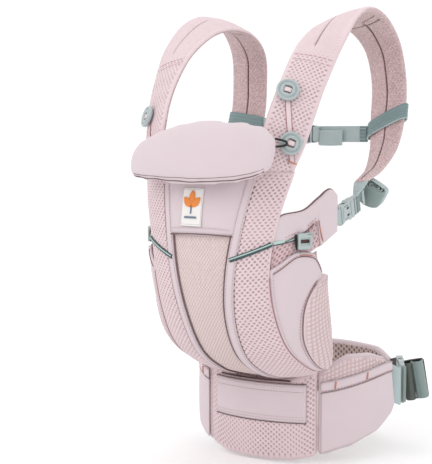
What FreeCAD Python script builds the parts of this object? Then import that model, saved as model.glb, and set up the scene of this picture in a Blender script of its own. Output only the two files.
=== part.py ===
"""Soft structured baby carrier, modelled as worn: waist belt closed in a loop, front panel filled out,
shoulder straps arched over the shoulders.

Frame: millimetres, +Z up, the panel faces -Y and the wearer stands on the +Y side of it.
The origin is the centre of the waist loop at the height of the belt's lower edge.
Every soft piece is one plain closed solid, and neighbouring pieces stay a small gap apart.
"""
import FreeCAD, Part
import math
import os

V = FreeCAD.Vector

# ---- driving dimensions ------------------------------------------------------------------------
GAP = 0.5                    # clearance left between neighbouring soft pieces

WAIST_HALF_WIDTH = 142.0     # outer half axes of the waist loop
WAIST_HALF_DEPTH = 122.0
BELT_THICK = 14.0
FABRIC = 1.5                 # cover fabric round a foam core
FRONT_HALF_ANGLE = 34.5      # the front pad spans this much each side of the front, in degrees
WING_END_ANGLE = 82.0        # the wings end this far round from the front
LUMBAR_HALF_ANGLE = 47.0     # the lumbar pad spans this much each side of the back

WEBBING = 1.6                # thickness of all webbing
WAIST_WEBBING = 50.0         # webbing widths
SIDE_WEBBING = 20.0
CHEST_WEBBING = 22.0

STRAP_THICK = 13.0
BUTTON_RADIUS = 13.8
BUTTON_THICK = 4.2

# Belt edge heights against the angle from the front: angle, lower edge, upper edge.
BELT_EDGES = [(0, 0, 105), (20, 1, 107), (35, 8, 119), (52, 18, 139), (66, 30, 139), (82, 62, 126)]

# Front panel, bottom to top: its centre line (Y, Z), and its side edge (X, Y, Z).
CENTRE_LINE = [(-112, 109), (-158, 123), (-207, 152), (-238, 200), (-251, 256), (-247, 320), (-234, 380)]
EDGE_LINE = [(88, -106, 130), (102, -118, 146), (109, -134, 182), (111, -148, 229), (112, -162, 278),
             (114, -172, 326), (116, -178, 376)]

PANEL_FULLNESS = 0.045       # the panel's section is this much fuller than an ellipse at its quarter points

# Seams of the front panel, bottom to top, as a share of the way from its centre line to its side edge.
BINDING_SEAM = [0.25, 0.185, 0.172, 0.185, 0.225, 0.28, 0.34]
THIGH_SEAM = [0.80, 0.62, 0.52, 0.49, 0.51, 0.58, 0.70]
LEG_PAD_SEAM = [0.95, 0.73, 0.66, 0.70, 0.93]     # only as high as the thigh panel

# Right shoulder strap from the panel to its tip: X, Y, Z, width, and the angles that its width turns
# to +Y and lifts its outer edge.
STRAP_LINE = [
    (86, -216, 386, 56, 36, 0), (93, -207, 415, 60, 36, 0), (98, -193, 449, 60, 35, 0),
    (101, -171, 486, 59, 30, 2), (102, -140, 525, 60, 22, 8), (101, -97, 556, 60, 12, 15),
    (101, -50, 568, 58, 2, 19), (101, -2, 560, 56, -4, 16), (104, 34, 532, 54, -6, 8),
    (108, 45, 488, 53, -6, 2), (109, 40, 441, 52, -6, 0), (112, 22, 401, 42, -8, 0),
    (115, -14, 373, 27, -12, 0), (117, -58, 359, 16, -14, 0)]


# ---- small helpers -----------------------------------------------------------------------------
def along(points, share):
    """Point at a share, 0 to 1, of the way through evenly spaced control points, on a smooth curve."""
    points = [p if isinstance(p, tuple) else (p,) for p in points]
    place = min(max(share, 0.0), 1.0) * (len(points) - 1)
    i = min(int(place), len(points) - 2)
    f = place - i
    p1, p2 = points[i], points[i + 1]
    p0 = points[i - 1] if i else tuple(2 * a - b for a, b in zip(p1, p2))
    p3 = points[i + 2] if i + 2 < len(points) else tuple(2 * b - a for a, b in zip(p1, p2))
    out = []
    for a, b, c, d in zip(p0, p1, p2, p3):
        out.append(b + 0.5 * f * (c - a + f * (2 * a - 5 * b + 4 * c - d + f * (3 * (b - c) + d - a))))
    return out[0] if len(out) == 1 else out


def lookup(table, x):
    """Values of a table of rows (x, value, value ...) at x, joined by smooth steps."""
    for low, high in zip(table, table[1:]):
        if x <= high[0]:
            break
    f = min(max((x - low[0]) / (high[0] - low[0]), 0.0), 1.0)
    f = f * f * (3 - 2 * f) * 0.4 + f * 0.6
    return [a + (b - a) * f for a, b in zip(low[1:], high[1:])]


def spline(points):
    curve = Part.BSplineCurve()
    curve.interpolate(points)
    return curve.toShape()


def line(a, b):
    return Part.makeLine(a, b)


def stadium(centre, long_way, thick_way, half_length, half_thick):
    """Wire of a flat strip's cross-section, with round ends."""
    run = long_way * (half_length - half_thick)
    out = thick_way * half_thick
    end = long_way * half_length
    return Part.Wire([
        line(centre - run + out, centre + run + out),
        Part.Arc(centre + run + out, centre + end, centre + run - out).toShape(),
        line(centre + run - out, centre - run - out),
        Part.Arc(centre - run - out, centre - end, centre - run + out).toShape()])


def oblong(centre, long_way, thick_way, half_length, half_thick):
    """Wire of a flat strip's cross-section, with square ends."""
    a, b = long_way * half_length, thick_way * half_thick
    return Part.makePolygon([centre - a - b, centre + a - b, centre + a + b, centre - a + b, centre - a - b])


def loft(wires, ruled=False):
    shape = Part.makeLoft(wires, True, ruled)
    return shape if shape.Volume > 0 else shape.reversed()


def box(low, high):
    return Part.makeBox(high[0] - low[0], high[1] - low[1], high[2] - low[2], V(*low))


def rounded(shape, radius, direction):
    """Rounds the straight edges of a box that run along a direction."""
    edges = [e for e in shape.Edges if abs(e.tangentAt(e.FirstParameter).dot(direction)) > 0.99]
    return shape.makeFillet(radius, edges)


def mirrored(shape):
    return shape.mirror(V(0, 0, 0), V(1, 0, 0))


def placed(shape, origin, ex, ey):
    """Moves a shape from its own axes to an origin, with its X along ex and its Y near ey."""
    ex = V(ex).normalize()
    ez = ex.cross(V(ey)).normalize()
    ey = ez.cross(ex)
    matrix = FreeCAD.Matrix(ex.x, ey.x, ez.x, origin.x, ex.y, ey.y, ez.y, origin.y,
                            ex.z, ey.z, ez.z, origin.z, 0, 0, 0, 1)
    moved = shape.copy()
    moved.Placement = FreeCAD.Placement(matrix).multiply(moved.Placement)
    return moved


# ---- waist belt --------------------------------------------------------------------------------
def ring_point(angle, outward=0.0, z=0.0):
    """Point of the waist loop. The angle, in degrees, is 0 at the front and 90 on the right."""
    a = math.radians(angle)
    return V((WAIST_HALF_WIDTH + outward) * math.sin(a), -(WAIST_HALF_DEPTH + outward) * math.cos(a), z)


def ring_outward(angle):
    a = math.radians(angle)
    return V(math.sin(a) / WAIST_HALF_WIDTH, -math.cos(a) / WAIST_HALF_DEPTH, 0).normalize()


def belt_band(start, end, inner, outer, edges, section=stadium, steps=8):
    """Strip that follows the waist loop, between two offsets from its outer surface."""
    wires = []
    for i in range(steps + 1):
        angle = start + (end - start) * i / steps
        low, high = edges(abs(angle))
        outward = ring_outward(angle)
        centre = ring_point(angle, 0, (low + high) / 2) + outward * ((inner + outer) / 2)
        wires.append(section(centre, V(0, 0, 1), outward, (high - low) / 2, (outer - inner) / 2))
    return loft(wires)


def belt_edges(angle):
    return lookup(BELT_EDGES, angle)


def strip_edges(angle):
    """Edges of the sizing strip, which runs between the wing's mesh top and its smooth lower part."""
    return lookup([(35, 91, 105), (80, 111, 125)], angle)


def pocket_edges(angle):
    return belt_edges(angle)[0] + 7, strip_edges(angle)[0] - 1


def lumbar_edges(angle):
    return lookup([(180 - LUMBAR_HALF_ANGLE, 56, 109), (150, 46, 121), (180, 40, 123)], angle)


def webbing_edges(angle):
    low = lookup([(WING_END_ANGLE, 74), (180 - LUMBAR_HALF_ANGLE, 58)], angle)[0]
    return low, low + WAIST_WEBBING


def hollow_band(start, end):
    """Cover and foam core of one length of belt."""
    skin = FABRIC / (WAIST_HALF_WIDTH + WAIST_HALF_DEPTH) * 114.6
    whole = belt_band(start, end, -BELT_THICK, 0, belt_edges)
    core = belt_band(start + skin, end - skin, -BELT_THICK + FABRIC, -FABRIC,
                     lambda a: (belt_edges(a)[0] + FABRIC, belt_edges(a)[1] - FABRIC))
    return whole.cut(core), core


def waist_belt():
    seam = FRONT_HALF_ANGLE
    end = WING_END_ANGLE
    front, front_core = hollow_band(-seam + 0.2, seam - 0.2)
    wing, wing_core = hollow_band(seam + 0.2, end)
    pocket = belt_band(seam + 2, end - 4, GAP, GAP + 1.6, pocket_edges, oblong)
    strip = belt_band(seam + 1.5, end - 1, GAP, GAP + 2.2, strip_edges, oblong)
    lumbar = belt_band(180 - LUMBAR_HALF_ANGLE, 180 + LUMBAR_HALF_ANGLE, -12, 0,
                       lambda a: lumbar_edges(a if a <= 180 else 360 - a), steps=16)
    return {
        "belt_front_cover": front,
        "belt_wing_cover_right": wing,
        "belt_wing_cover_left": mirrored(wing),
        "belt_foam": Part.makeCompound([front_core, wing_core, mirrored(wing_core)]),
        "belt_pocket_right": pocket,
        "belt_pocket_left": mirrored(pocket),
        "belt_size_strips": Part.makeCompound([strip, mirrored(strip)]),
        "lumbar_pad": lumbar,
    }


PATCH_HALF_ANGLE = 25.0
PATCH_EDGES = (53.0, 101.0)


def belt_patch():
    """Fabric patch on the belt's front that an accessory pouch snaps to."""
    return belt_band(-PATCH_HALF_ANGLE, PATCH_HALF_ANGLE, GAP, GAP + 1.6, lambda angle: PATCH_EDGES, oblong)


# ---- front panel -------------------------------------------------------------------------------
def panel_row(share):
    y, z = along(CENTRE_LINE, share)
    return V(0, y, z), V(*along(EDGE_LINE, share))


def panel_surface(across, share):
    """Point of the panel's outer surface. across is -1 on the left edge, 0 in the middle, 1 on the right."""
    centre, edge = panel_row(share)
    turn = across * math.pi / 2
    back = 1 - math.cos(turn)
    full = 1 + PANEL_FULLNESS * math.sin(2 * turn) ** 2
    return V(edge.x * math.sin(turn) * full, centre.y + (edge.y - centre.y) * back,
             centre.z + (edge.z - centre.z) * back)


def panel_normal(across, share):
    step = 0.01
    du = panel_surface(across + step, share) - panel_surface(across - step, share)
    low, high = max(share - step, 0.0), min(share + step, 1.0)
    dv = panel_surface(across, high) - panel_surface(across, low)
    return du.cross(dv).normalize()


def panel_point(across, share, offset=0.0):
    return panel_surface(across, share) + panel_normal(across, share) * offset


def panel_piece(left, right, bottom, top, inner, outer, rows=12, columns=8):
    """Solid that lies on the panel. left and right give its side edges at a height share."""
    sheets = []
    for offset in (outer, inner):
        grid = []
        for i in range(rows + 1):
            share = bottom + (top - bottom) * i / rows
            a, b = left(share), right(share)
            grid.append([panel_point(a + (b - a) * k / columns, share, offset) for k in range(columns + 1)])
        surface = Part.BSplineSurface()
        surface.interpolate(grid)
        sheets.append(surface.toShape())
    faces = list(sheets)
    for outer_edge, inner_edge in zip(sheets[0].Edges, sheets[1].Edges):
        faces.append(Part.makeRuledSurface(outer_edge, inner_edge))
    shell = Part.makeShell(faces)
    shell.sewShape()
    solid = Part.makeSolid(shell)
    return solid if solid.Volume > 0 else solid.reversed()


SEAM_GAP = 0.006             # gap at a seam, as a share of the half panel
THIGH_TOP = 0.66             # height share where the thigh panel ends under the seat slider


def binding_seam(share):
    return along(BINDING_SEAM, share)


def thigh_seam(share):
    return along(THIGH_SEAM, share)


def leg_seam(share):
    return along(LEG_PAD_SEAM, share / THIGH_TOP)


BINDING_HALF = 0.045


def front_panel():
    lower = panel_piece(lambda s: -0.99, lambda s: 0.99, 0.02, THIGH_TOP, -3.8, -1.2, columns=16)
    upper = panel_piece(lambda s: -thigh_seam(s), lambda s: thigh_seam(s), THIGH_TOP + 0.004, 0.985, -3.8, -1.2,
                        columns=12)
    centre = panel_piece(lambda s: -binding_seam(s) + SEAM_GAP, lambda s: binding_seam(s) - SEAM_GAP,
                         0.02, 0.985, 0, 1.8)
    binding = panel_piece(lambda s: binding_seam(s) - BINDING_HALF, lambda s: binding_seam(s) + BINDING_HALF,
                          0.03, 0.975, 3.4, 5.4, columns=3)
    side = panel_piece(lambda s: binding_seam(s) + SEAM_GAP, lambda s: thigh_seam(s) - SEAM_GAP,
                       0.02, 0.985, 0, 3.0)
    thigh = panel_piece(lambda s: thigh_seam(s) + SEAM_GAP, lambda s: leg_seam(s) - SEAM_GAP,
                        0.03, THIGH_TOP - 0.01, 0, 3.6)
    leg_pad = panel_piece(lambda s: leg_seam(s) + SEAM_GAP, lambda s: 1.01, 0.06, THIGH_TOP - 0.05, 0, 7.0,
                          columns=4)
    pocket = panel_piece(lambda s: -binding_seam(s) + 0.06, lambda s: binding_seam(s) - 0.06,
                         0.785, 0.975, 2.3, 4.1)
    label = panel_piece(lambda s: -0.115, lambda s: 0.045, 0.805, 0.925, 4.5, 5.1, rows=3, columns=3)
    return {
        "panel_liner": Part.makeCompound([lower, upper]),
        "panel_centre_mesh": centre,
        "panel_bindings": Part.makeCompound([binding, mirrored(binding)]),
        "panel_side_mesh_right": side,
        "panel_side_mesh_left": mirrored(side),
        "thigh_panel_right": thigh,
        "thigh_panel_left": mirrored(thigh),
        "leg_pad_right": leg_pad,
        "leg_pad_left": mirrored(leg_pad),
        "hood_pocket": pocket,
        "label": label,
    }


# ---- shoulder straps ---------------------------------------------------------------------------
def strap_frame(share):
    """Centre, width direction, outward direction and half width of the right strap."""
    x, y, z, width, turn, lift = along(STRAP_LINE, share)
    ahead, behind = along(STRAP_LINE, min(share + 0.01, 1)), along(STRAP_LINE, max(share - 0.01, 0))
    tangent = (V(*ahead[:3]) - V(*behind[:3])).normalize()
    turn, lift = math.radians(turn), math.radians(lift)
    across = V(math.cos(turn) * math.cos(lift), math.sin(turn) * math.cos(lift), math.sin(lift))
    across = (across - tangent * across.dot(tangent)).normalize()
    return V(x, y, z), across, across.cross(tangent), width / 2


def strap_solid(start, end, shrink=0.0, steps=26):
    wires = []
    for i in range(steps + 1):
        share = start + (end - start) * i / steps
        centre, across, outward, half = strap_frame(share)
        thick = STRAP_THICK if share < 0.75 else STRAP_THICK - (share - 0.75) * 24
        wires.append(stadium(centre, across, outward, half - shrink, thick / 2 - shrink))
    return loft(wires)


def shoulder_straps():
    whole = strap_solid(0.0, 1.0)
    core = strap_solid(0.02, 0.86, FABRIC)
    cover = whole.cut(core)
    return {
        "shoulder_strap_right": cover,
        "shoulder_strap_left": mirrored(cover),
        "strap_foam": Part.makeCompound([core, mirrored(core)]),
    }


# ---- head support ------------------------------------------------------------------------------
# Head support from its middle to its right end: X, Y, Z, half height, half thickness.
PILLOW_LINE = [(0, -262, 397, 40, 11), (30, -260, 397.5, 39, 11), (60, -256, 398, 36, 10.5),
               (86, -248, 398, 28, 9.5), (102, -243, 396, 15, 7)]
PILLOW_LEAN = V(0, 0.25, 0.97).normalize()


def pillow(shrink):
    rows = [(-r[0],) + r[1:] for r in reversed(PILLOW_LINE[1:])] + PILLOW_LINE
    wires = []
    for x, y, z, half_height, half_thick in rows:
        x -= math.copysign(shrink, x) if x else 0
        thick_way = V(x / 300, -1, 0)
        thick_way = (thick_way - PILLOW_LEAN * thick_way.dot(PILLOW_LEAN)).normalize()
        wires.append(stadium(V(x, y, z), PILLOW_LEAN, thick_way, half_height - shrink, half_thick - shrink))
    return loft(wires)


def head_support():
    core = pillow(FABRIC)
    loop = Part.makeCylinder(1.5, 12, V(94, -238, 411), V(0.35, 0.8, -0.1))
    loop = loop.cut(pillow(0))
    return {
        "head_support_cover": pillow(0).cut(core),
        "head_support_foam": core,
        "head_loops": Part.makeCompound([loop, mirrored(loop)]),
    }


# ---- strap buttons -----------------------------------------------------------------------------
# Share of the strap, and distance inside its middle. The two straps are set for different heights.
BUTTONS = {"right": {"lower": (0.062, -6.0), "upper": (0.181, 16.3)},
           "left": {"lower": (0.062, -6.0), "upper": (0.140, -12.0)}}
BAND_HALF = 3.2
BAND_LIFT = STRAP_THICK / 2 + 1.3


def button_place(share, inside):
    centre, across, outward, half = strap_frame(share)
    return centre - across * inside, across, outward


def button_band(low, high):
    """Elastic band under a pair of buttons, a little longer than the distance between them."""
    wires = []
    for i in range(9):
        f = -0.22 + 1.4 * i / 8
        centre, across, outward = button_place(low[0] + (high[0] - low[0]) * f, low[1] + (high[1] - low[1]) * f)
        wires.append(oblong(centre + outward * BAND_LIFT, across, outward, BAND_HALF, 0.6))
    return loft(wires)


def strap_buttons():
    nodes = {}
    bands = []
    for side, places in BUTTONS.items():
        band = button_band(places["lower"], places["upper"])
        bands.append(band if side == "right" else mirrored(band))
        for name, (share, inside) in places.items():
            centre, across, outward = button_place(share, inside)
            disc = Part.makeCylinder(BUTTON_RADIUS, BUTTON_THICK)
            disc = disc.makeFillet(1.2, [e for e in disc.Edges if e.Closed])
            disc = disc.cut(box((-4.4, -6, -1), (4.4, -1.2, 9))).cut(box((-4.4, 1.2, -1), (4.4, 6, 9)))
            groove = Part.makeTorus(BUTTON_RADIUS - 4, 0.7, V(0, 0, BUTTON_THICK))
            disc = placed(disc.cut(groove), centre + outward * (BAND_LIFT + 1.4), across, outward.cross(across))
            nodes[f"strap_button_{name}_{side}"] = disc if side == "right" else mirrored(disc)
    nodes["button_bands"] = Part.makeCompound(bands)
    return nodes


# ---- side wings, seat rails and sliders --------------------------------------------------------
# Right wing from the panel to its buckle: X, Y, lower edge, upper edge.
WING_LINE = [(91, -215, 289, 324), (105, -190, 279, 329), (116, -169, 284, 343), (124, -147, 298, 352)]
WING_THICK = 7.0


def wing_frame(f):
    x, y, low, high = along(WING_LINE, f)
    ahead, behind = along(WING_LINE, min(f + 0.02, 1)), along(WING_LINE, max(f - 0.02, 0))
    run = V(ahead[0] - behind[0], ahead[1] - behind[1], 0).normalize()
    return V(x, y, 0), run, run.cross(V(0, 0, 1)), low, high


def side_wings():
    wires = []
    for i in range(7):
        at, run, outward, low, high = wing_frame(i / 6)
        wires.append(stadium(at + V(0, 0, (low + high) / 2), V(0, 0, 1), outward, (high - low) / 2, WING_THICK / 2))
    wing = loft(wires)

    rail_wires = []
    for across, share in [(0.29, 0.700), (0.39, 0.706), (0.48, 0.716)]:
        up = (panel_point(across, share + 0.02) - panel_point(across, share)).normalize()
        rail_wires.append(oblong(panel_point(across, share, 4.6), up, panel_normal(across, share), 2.6, 0.7))
    for f in (0.12, 0.36):
        at, run, outward, low, high = wing_frame(f)
        rail_wires.append(oblong(at + outward * (WING_THICK / 2 + 1.4) + V(0, 0, 293), V(0, 0, 1), outward, 2.6, 0.7))
    rail = loft(rail_wires)

    at, run, outward, low, high = wing_frame(0.36)
    plate = rounded(box((-11, -11, 0), (11, 11, 3)), 4, V(0, 0, 1))
    plate = plate.cut(rounded(box((-8, 3, -1), (8, 6.5, 4)), 1.5, V(0, 0, 1)))
    plate = plate.cut(Part.makeCylinder(2.2, 5, V(5, -4, -1)))
    slider = placed(plate, at + outward * (WING_THICK / 2 + 3.2) + V(0, 0, 293), run, V(0, 0, 1))
    return {
        "side_wing_right": wing,
        "side_wing_left": mirrored(wing),
        "seat_rails": Part.makeCompound([rail, mirrored(rail)]),
        "seat_slider_right": slider,
        "seat_slider_left": mirrored(slider),
    }


# ---- side-release buckles ----------------------------------------------------------------------
BUCKLE_HALF_THICK = 4.2
ROLL_WIDTH = 22.0
ROLL_RADIUS = 15.0
ROLL_CENTRE = V(121, -34, 343)
WEBBING_DROP = 5.4           # webbing runs this far under a buckle's middle


def buckle(width, female_length, male_length):
    """Socket and plug about the socket's mouth. The plug pulls out along +X and +Z faces outward."""
    half = width / 2 + 2.2
    slot = width / 2 + 0.6
    thick = BUCKLE_HALF_THICK
    female = rounded(box((-female_length, -half, -thick), (0, half, thick)), 2.4, V(1, 0, 0))
    female = female.cut(box((9 - female_length, 2.0 - half, -2.4), (1, half - 2.0, 2.4)))
    female = female.cut(box((3 - female_length, -slot, -9), (6.4 - female_length, slot, 9)))
    for side in (-1, 1):
        window = box((12 - female_length, -2, -2.4), (-7, 2, 2.4))
        window.translate(V(0, side * half, 0))
        female = female.cut(window)

    male = rounded(box((0.5, -half, -3.4), (male_length, half, 3.4)), 2.4, V(1, 0, 0))
    for x in (male_length - 12.6, male_length - 6.0):
        male = male.cut(box((x, -slot, -9), (x + 3.4, slot, 9)))
    reach = 12.5 - female_length
    for side in (-1, 1):
        prong = box((reach, -1.5, -1.8), (2.0, 1.5, 1.8))
        prong.translate(V(0, side * (half - 4.2), 0))
        male = male.fuse(prong)
    male = male.fuse(box((reach + 4, -1.8, -1.8), (2.0, 1.8, 1.8)))
    return female, male


def strip(points, width):
    """Webbing through rows of (middle, width direction, thickness direction)."""
    wires = [oblong(p, V(w).normalize(), V(t).normalize(), width / 2, WEBBING / 2) for p, w, t in points]
    return loft(wires, True)


def side_buckles():
    female, male = buckle(SIDE_WEBBING, 31, 24)
    mouth = V(125, -110, 327)
    pull = V(0, 0.97, 0.24).normalize()
    width = V(0, -0.24, 0.97).normalize()
    out = pull.cross(width)
    female = placed(female, mouth, pull, width)
    male = placed(male, mouth, pull, width)

    tip, tip_across, tip_outward, half = strap_frame(1.0)
    start = tip + V(0, -0.8, -0.2)
    under = -out * WEBBING_DROP
    middle = (mouth + pull * 40 + start + under) * 0.5
    webbing = strip([(mouth + pull * 2 + under, width, out), (mouth + pull * 28 + under, width, out),
                     (middle, width * 0.9 + tip_across * 0.45, out), (start, tip_across, -tip_outward)], SIDE_WEBBING)
    tab = strip([(mouth - pull * 34.4, width, out), (mouth - pull * 31.4, width, out)], SIDE_WEBBING)

    axis = V(0.42, -0.43, 0.80).normalize()
    roll = Part.makeCylinder(ROLL_RADIUS, ROLL_WIDTH, V(0, 0, -ROLL_WIDTH / 2))
    roll = roll.cut(Part.makeCylinder(2.0, ROLL_WIDTH, V(0, 0, -ROLL_WIDTH / 2)))
    roll = placed(roll, ROLL_CENTRE, pull, axis.cross(pull))
    reach, rise = ROLL_RADIUS + 1.8, ROLL_WIDTH / 2 + 1.8
    keeper = box((-reach, -4, -rise), (reach, 4, rise))
    keeper = keeper.cut(box((1.2 - reach, -5, 1.2 - rise), (reach - 1.2, 5, rise - 1.2)))
    keeper = placed(keeper, ROLL_CENTRE, pull, axis.cross(pull))
    nodes = {
        "side_buckle_female_right": female,
        "side_buckle_male_right": male,
        "side_webbing_right": webbing,
        "webbing_roll_right": roll,
    }
    for name in list(nodes):
        nodes[name.replace("right", "left")] = mirrored(nodes[name])
    nodes["wing_tabs"] = Part.makeCompound([tab, mirrored(tab)])
    nodes["roll_elastics"] = Part.makeCompound([keeper, mirrored(keeper)])
    return nodes


# ---- chest strap -------------------------------------------------------------------------------
CHEST_SHARE = 0.778
LOOP_PLAY = 4.4
LOOP_SLOPE = 0.43            # the loop climbs this much towards the strap's outer edge


def sloped(shape, slope):
    """Shears a shape so that its Y grows with its X."""
    return shape.transformGeometry(FreeCAD.Matrix(1, 0, 0, 0, slope, 1, 0, 0, 0, 0, 1, 0, 0, 0, 0, 1))


def chest_strap():
    centre, across, outward, half = strap_frame(CHEST_SHARE)
    up = across.cross(outward)
    across_way, thick_way, start = V(1, 0, 0), V(0, 0, 1), V(0, -CHEST_WEBBING / 2, 0)
    inner = Part.Face(stadium(start, across_way, thick_way, half + LOOP_PLAY, STRAP_THICK / 2 + LOOP_PLAY - 0.8))
    outer = Part.Face(stadium(start, across_way, thick_way, half + LOOP_PLAY + 1.8, STRAP_THICK / 2 + LOOP_PLAY + 1.0))
    length = V(0, CHEST_WEBBING, 0)
    loop = placed(sloped(outer.extrude(length).cut(inner.extrude(length)), LOOP_SLOPE), centre, across, up)

    female, male = buckle(CHEST_WEBBING, 30, 24)
    reach = half + LOOP_PLAY + 3.6
    end = centre - across * reach - up * (reach * LOOP_SLOPE)
    mouth = V(-20, end.y, end.z)
    pull, width, out = V(1, 0, 0), V(0, 0, 1), V(0, -1, 0)
    female = placed(female, mouth, pull, width)
    male = placed(male, mouth, pull, width)
    under = -out * WEBBING_DROP
    right = strip([(mouth + pull * 2 + under, width, out), (end - pull * 12 + under, width, out),
                   (end, width, out)], CHEST_WEBBING)
    left = strip([(V(-end.x, end.y, end.z), width, out), (mouth - pull * 30.6, width, out)], CHEST_WEBBING)
    tail = box((mouth.x + 26, mouth.y - 1.6, mouth.z - 16), (mouth.x + 62, mouth.y + 1.6, mouth.z + 6))
    return {
        "chest_loops": Part.makeCompound([loop, mirrored(loop)]),
        "chest_webbing_right": right,
        "chest_webbing_left": left,
        "chest_buckle_female": female,
        "chest_buckle_male": male,
        "chest_webbing_tail": tail,
    }


# ---- waist webbing -----------------------------------------------------------------------------
BUCKLE_ANGLE = 114.0
BUNDLE_SPLAY = 0.10          # the folded webbing stands off the buckle towards its lower end


def waist_webbing():
    female, male = buckle(WAIST_WEBBING, 33, 32)
    low, high = webbing_edges(BUCKLE_ANGLE)
    mouth = ring_point(BUCKLE_ANGLE, -2, (low + high) / 2)
    out = ring_outward(BUCKLE_ANGLE)
    width = V(0, 0, -1)
    pull = width.cross(out)
    female = placed(female, mouth, pull, width)
    male = placed(male, mouth, pull, width)

    under = -out * WEBBING_DROP
    wing_end = WING_END_ANGLE + 0.5
    end_low, end_high = webbing_edges(wing_end)
    end_out = ring_outward(wing_end)
    end_point = ring_point(wing_end, 0, (end_low + end_high) / 2) - end_out * (BELT_THICK / 2)
    right = strip([(mouth + pull * 2 + under, width, out), (mouth + pull * 20 + under, width, out),
                   (end_point, width, end_out)], WAIST_WEBBING)
    pad_end = 180.0 - LUMBAR_HALF_ANGLE - 0.4
    left = mirrored(belt_band(wing_end, pad_end, -7.8, -6.2, webbing_edges, oblong))
    pad_low, pad_high = webbing_edges(pad_end)
    pad_point = ring_point(pad_end, 0, (pad_low + pad_high) / 2) - ring_outward(pad_end) * 7
    tab = strip([(mouth - pull * 33.4, width, out), (pad_point, width, ring_outward(pad_end))], WAIST_WEBBING)

    half = WAIST_WEBBING / 2
    bundle = rounded(box((3, -half, 8.2), (27, half, 37)), 5, V(0, 1, 0))
    keeper = box((10, -half - 2, 6.8), (18, half + 2, 38.8)).cut(box((9, -half - 0.8, 7.8), (19, half + 0.8, 37.6)))
    bundle_way = width + out * BUNDLE_SPLAY
    return {
        "waist_buckle_female": female,
        "waist_buckle_male": male,
        "waist_webbing_right": right,
        "waist_webbing_left": left,
        "lumbar_tab": tab,
        "webbing_bundle": placed(bundle, mouth, pull, bundle_way),
        "bundle_elastic": placed(keeper, mouth, pull, bundle_way),
    }


def main():
    os.makedirs("parts", exist_ok=True)
    nodes = {"belt_patch": belt_patch()}
    groups = (waist_belt, front_panel, shoulder_straps, head_support, strap_buttons, side_wings, side_buckles,
              chest_strap, waist_webbing)
    for group in groups:
        nodes.update(group())
    for name, shape in sorted(nodes.items()):
        if not shape.isValid():
            raise ValueError(f"{name} is not a valid solid")
        shape.exportStep(f"parts/{name}.step")
        print(f"{name:26s} {len(shape.Solids)} solids {shape.Volume / 1000:8.2f} cm3")


main()
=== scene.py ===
"""Visual model of the soft baby carrier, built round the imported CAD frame.

Shapes are worked out in millimetres in the row frame: +Z up, the front panel faces -Y, and the origin is
the centre of the waist loop. Soft pieces are grids of points with a real thickness, so that mesh holes,
crowned padding, seams and rolled edges are geometry.
"""
import math
import bmesh
import bpy
import numpy as np
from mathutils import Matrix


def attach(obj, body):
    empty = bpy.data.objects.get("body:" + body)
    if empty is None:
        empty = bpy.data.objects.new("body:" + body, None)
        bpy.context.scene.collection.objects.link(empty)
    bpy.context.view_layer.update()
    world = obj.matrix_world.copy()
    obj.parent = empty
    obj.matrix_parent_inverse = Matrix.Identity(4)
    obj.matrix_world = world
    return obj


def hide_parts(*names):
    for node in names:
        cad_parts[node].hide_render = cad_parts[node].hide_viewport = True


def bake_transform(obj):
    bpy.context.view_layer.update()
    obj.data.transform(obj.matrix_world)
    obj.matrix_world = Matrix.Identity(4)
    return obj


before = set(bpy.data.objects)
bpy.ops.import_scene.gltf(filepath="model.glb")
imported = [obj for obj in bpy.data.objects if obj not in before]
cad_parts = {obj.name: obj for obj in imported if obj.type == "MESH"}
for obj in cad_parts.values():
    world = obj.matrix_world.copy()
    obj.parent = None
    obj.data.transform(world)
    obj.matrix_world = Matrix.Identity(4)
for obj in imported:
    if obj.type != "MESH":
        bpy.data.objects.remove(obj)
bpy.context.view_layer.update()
MM = 0.001

# ---- driving shapes, as in the CAD apart from the ones marked ----------------------------------------
WAIST_HALF_WIDTH = 142.0
WAIST_HALF_DEPTH = 122.0
BELT_THICK = 14.0
FRONT_HALF_ANGLE = 34.5
WING_END_ANGLE = 86.0        # the CAD wings end square at 82; these lean
WING_LEAN = 0.24
LUMBAR_END_ANGLE = 133.0
BELT_EDGES = [(0, 0, 105), (20, 1, 107), (35, 8, 119), (52, 18, 139), (66, 30, 139), (79, 50, 132),
              (86, 68, 120)]
PATCH_ANGLES = (-27.5, 28.5)
PATCH_LOW = 51.0
PATCH_HIGH = 101.0
CENTRE_LINE = [(-112, 109), (-158, 123), (-207, 152), (-238, 200), (-251, 256), (-247, 320), (-234, 380)]
EDGE_LINE = [(88, -106, 130), (102, -118, 146), (109, -134, 182), (111, -148, 229), (112, -162, 278),
             (114, -172, 326), (116, -178, 376)]
PANEL_FULLNESS = 0.045
BINDING_SEAM = [0.25, 0.185, 0.172, 0.185, 0.225, 0.28, 0.34]
THIGH_SEAM = [0.80, 0.62, 0.52, 0.485, 0.49, 0.555, 0.67]
LEG_PAD_SEAM = [(0, 0.95), (0.165, 0.73), (0.33, 0.66), (0.44, 0.69), (0.51, 0.755), (0.55, 0.858),
                (0.575, 1.0)]
THIGH_TOP = 0.66
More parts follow.
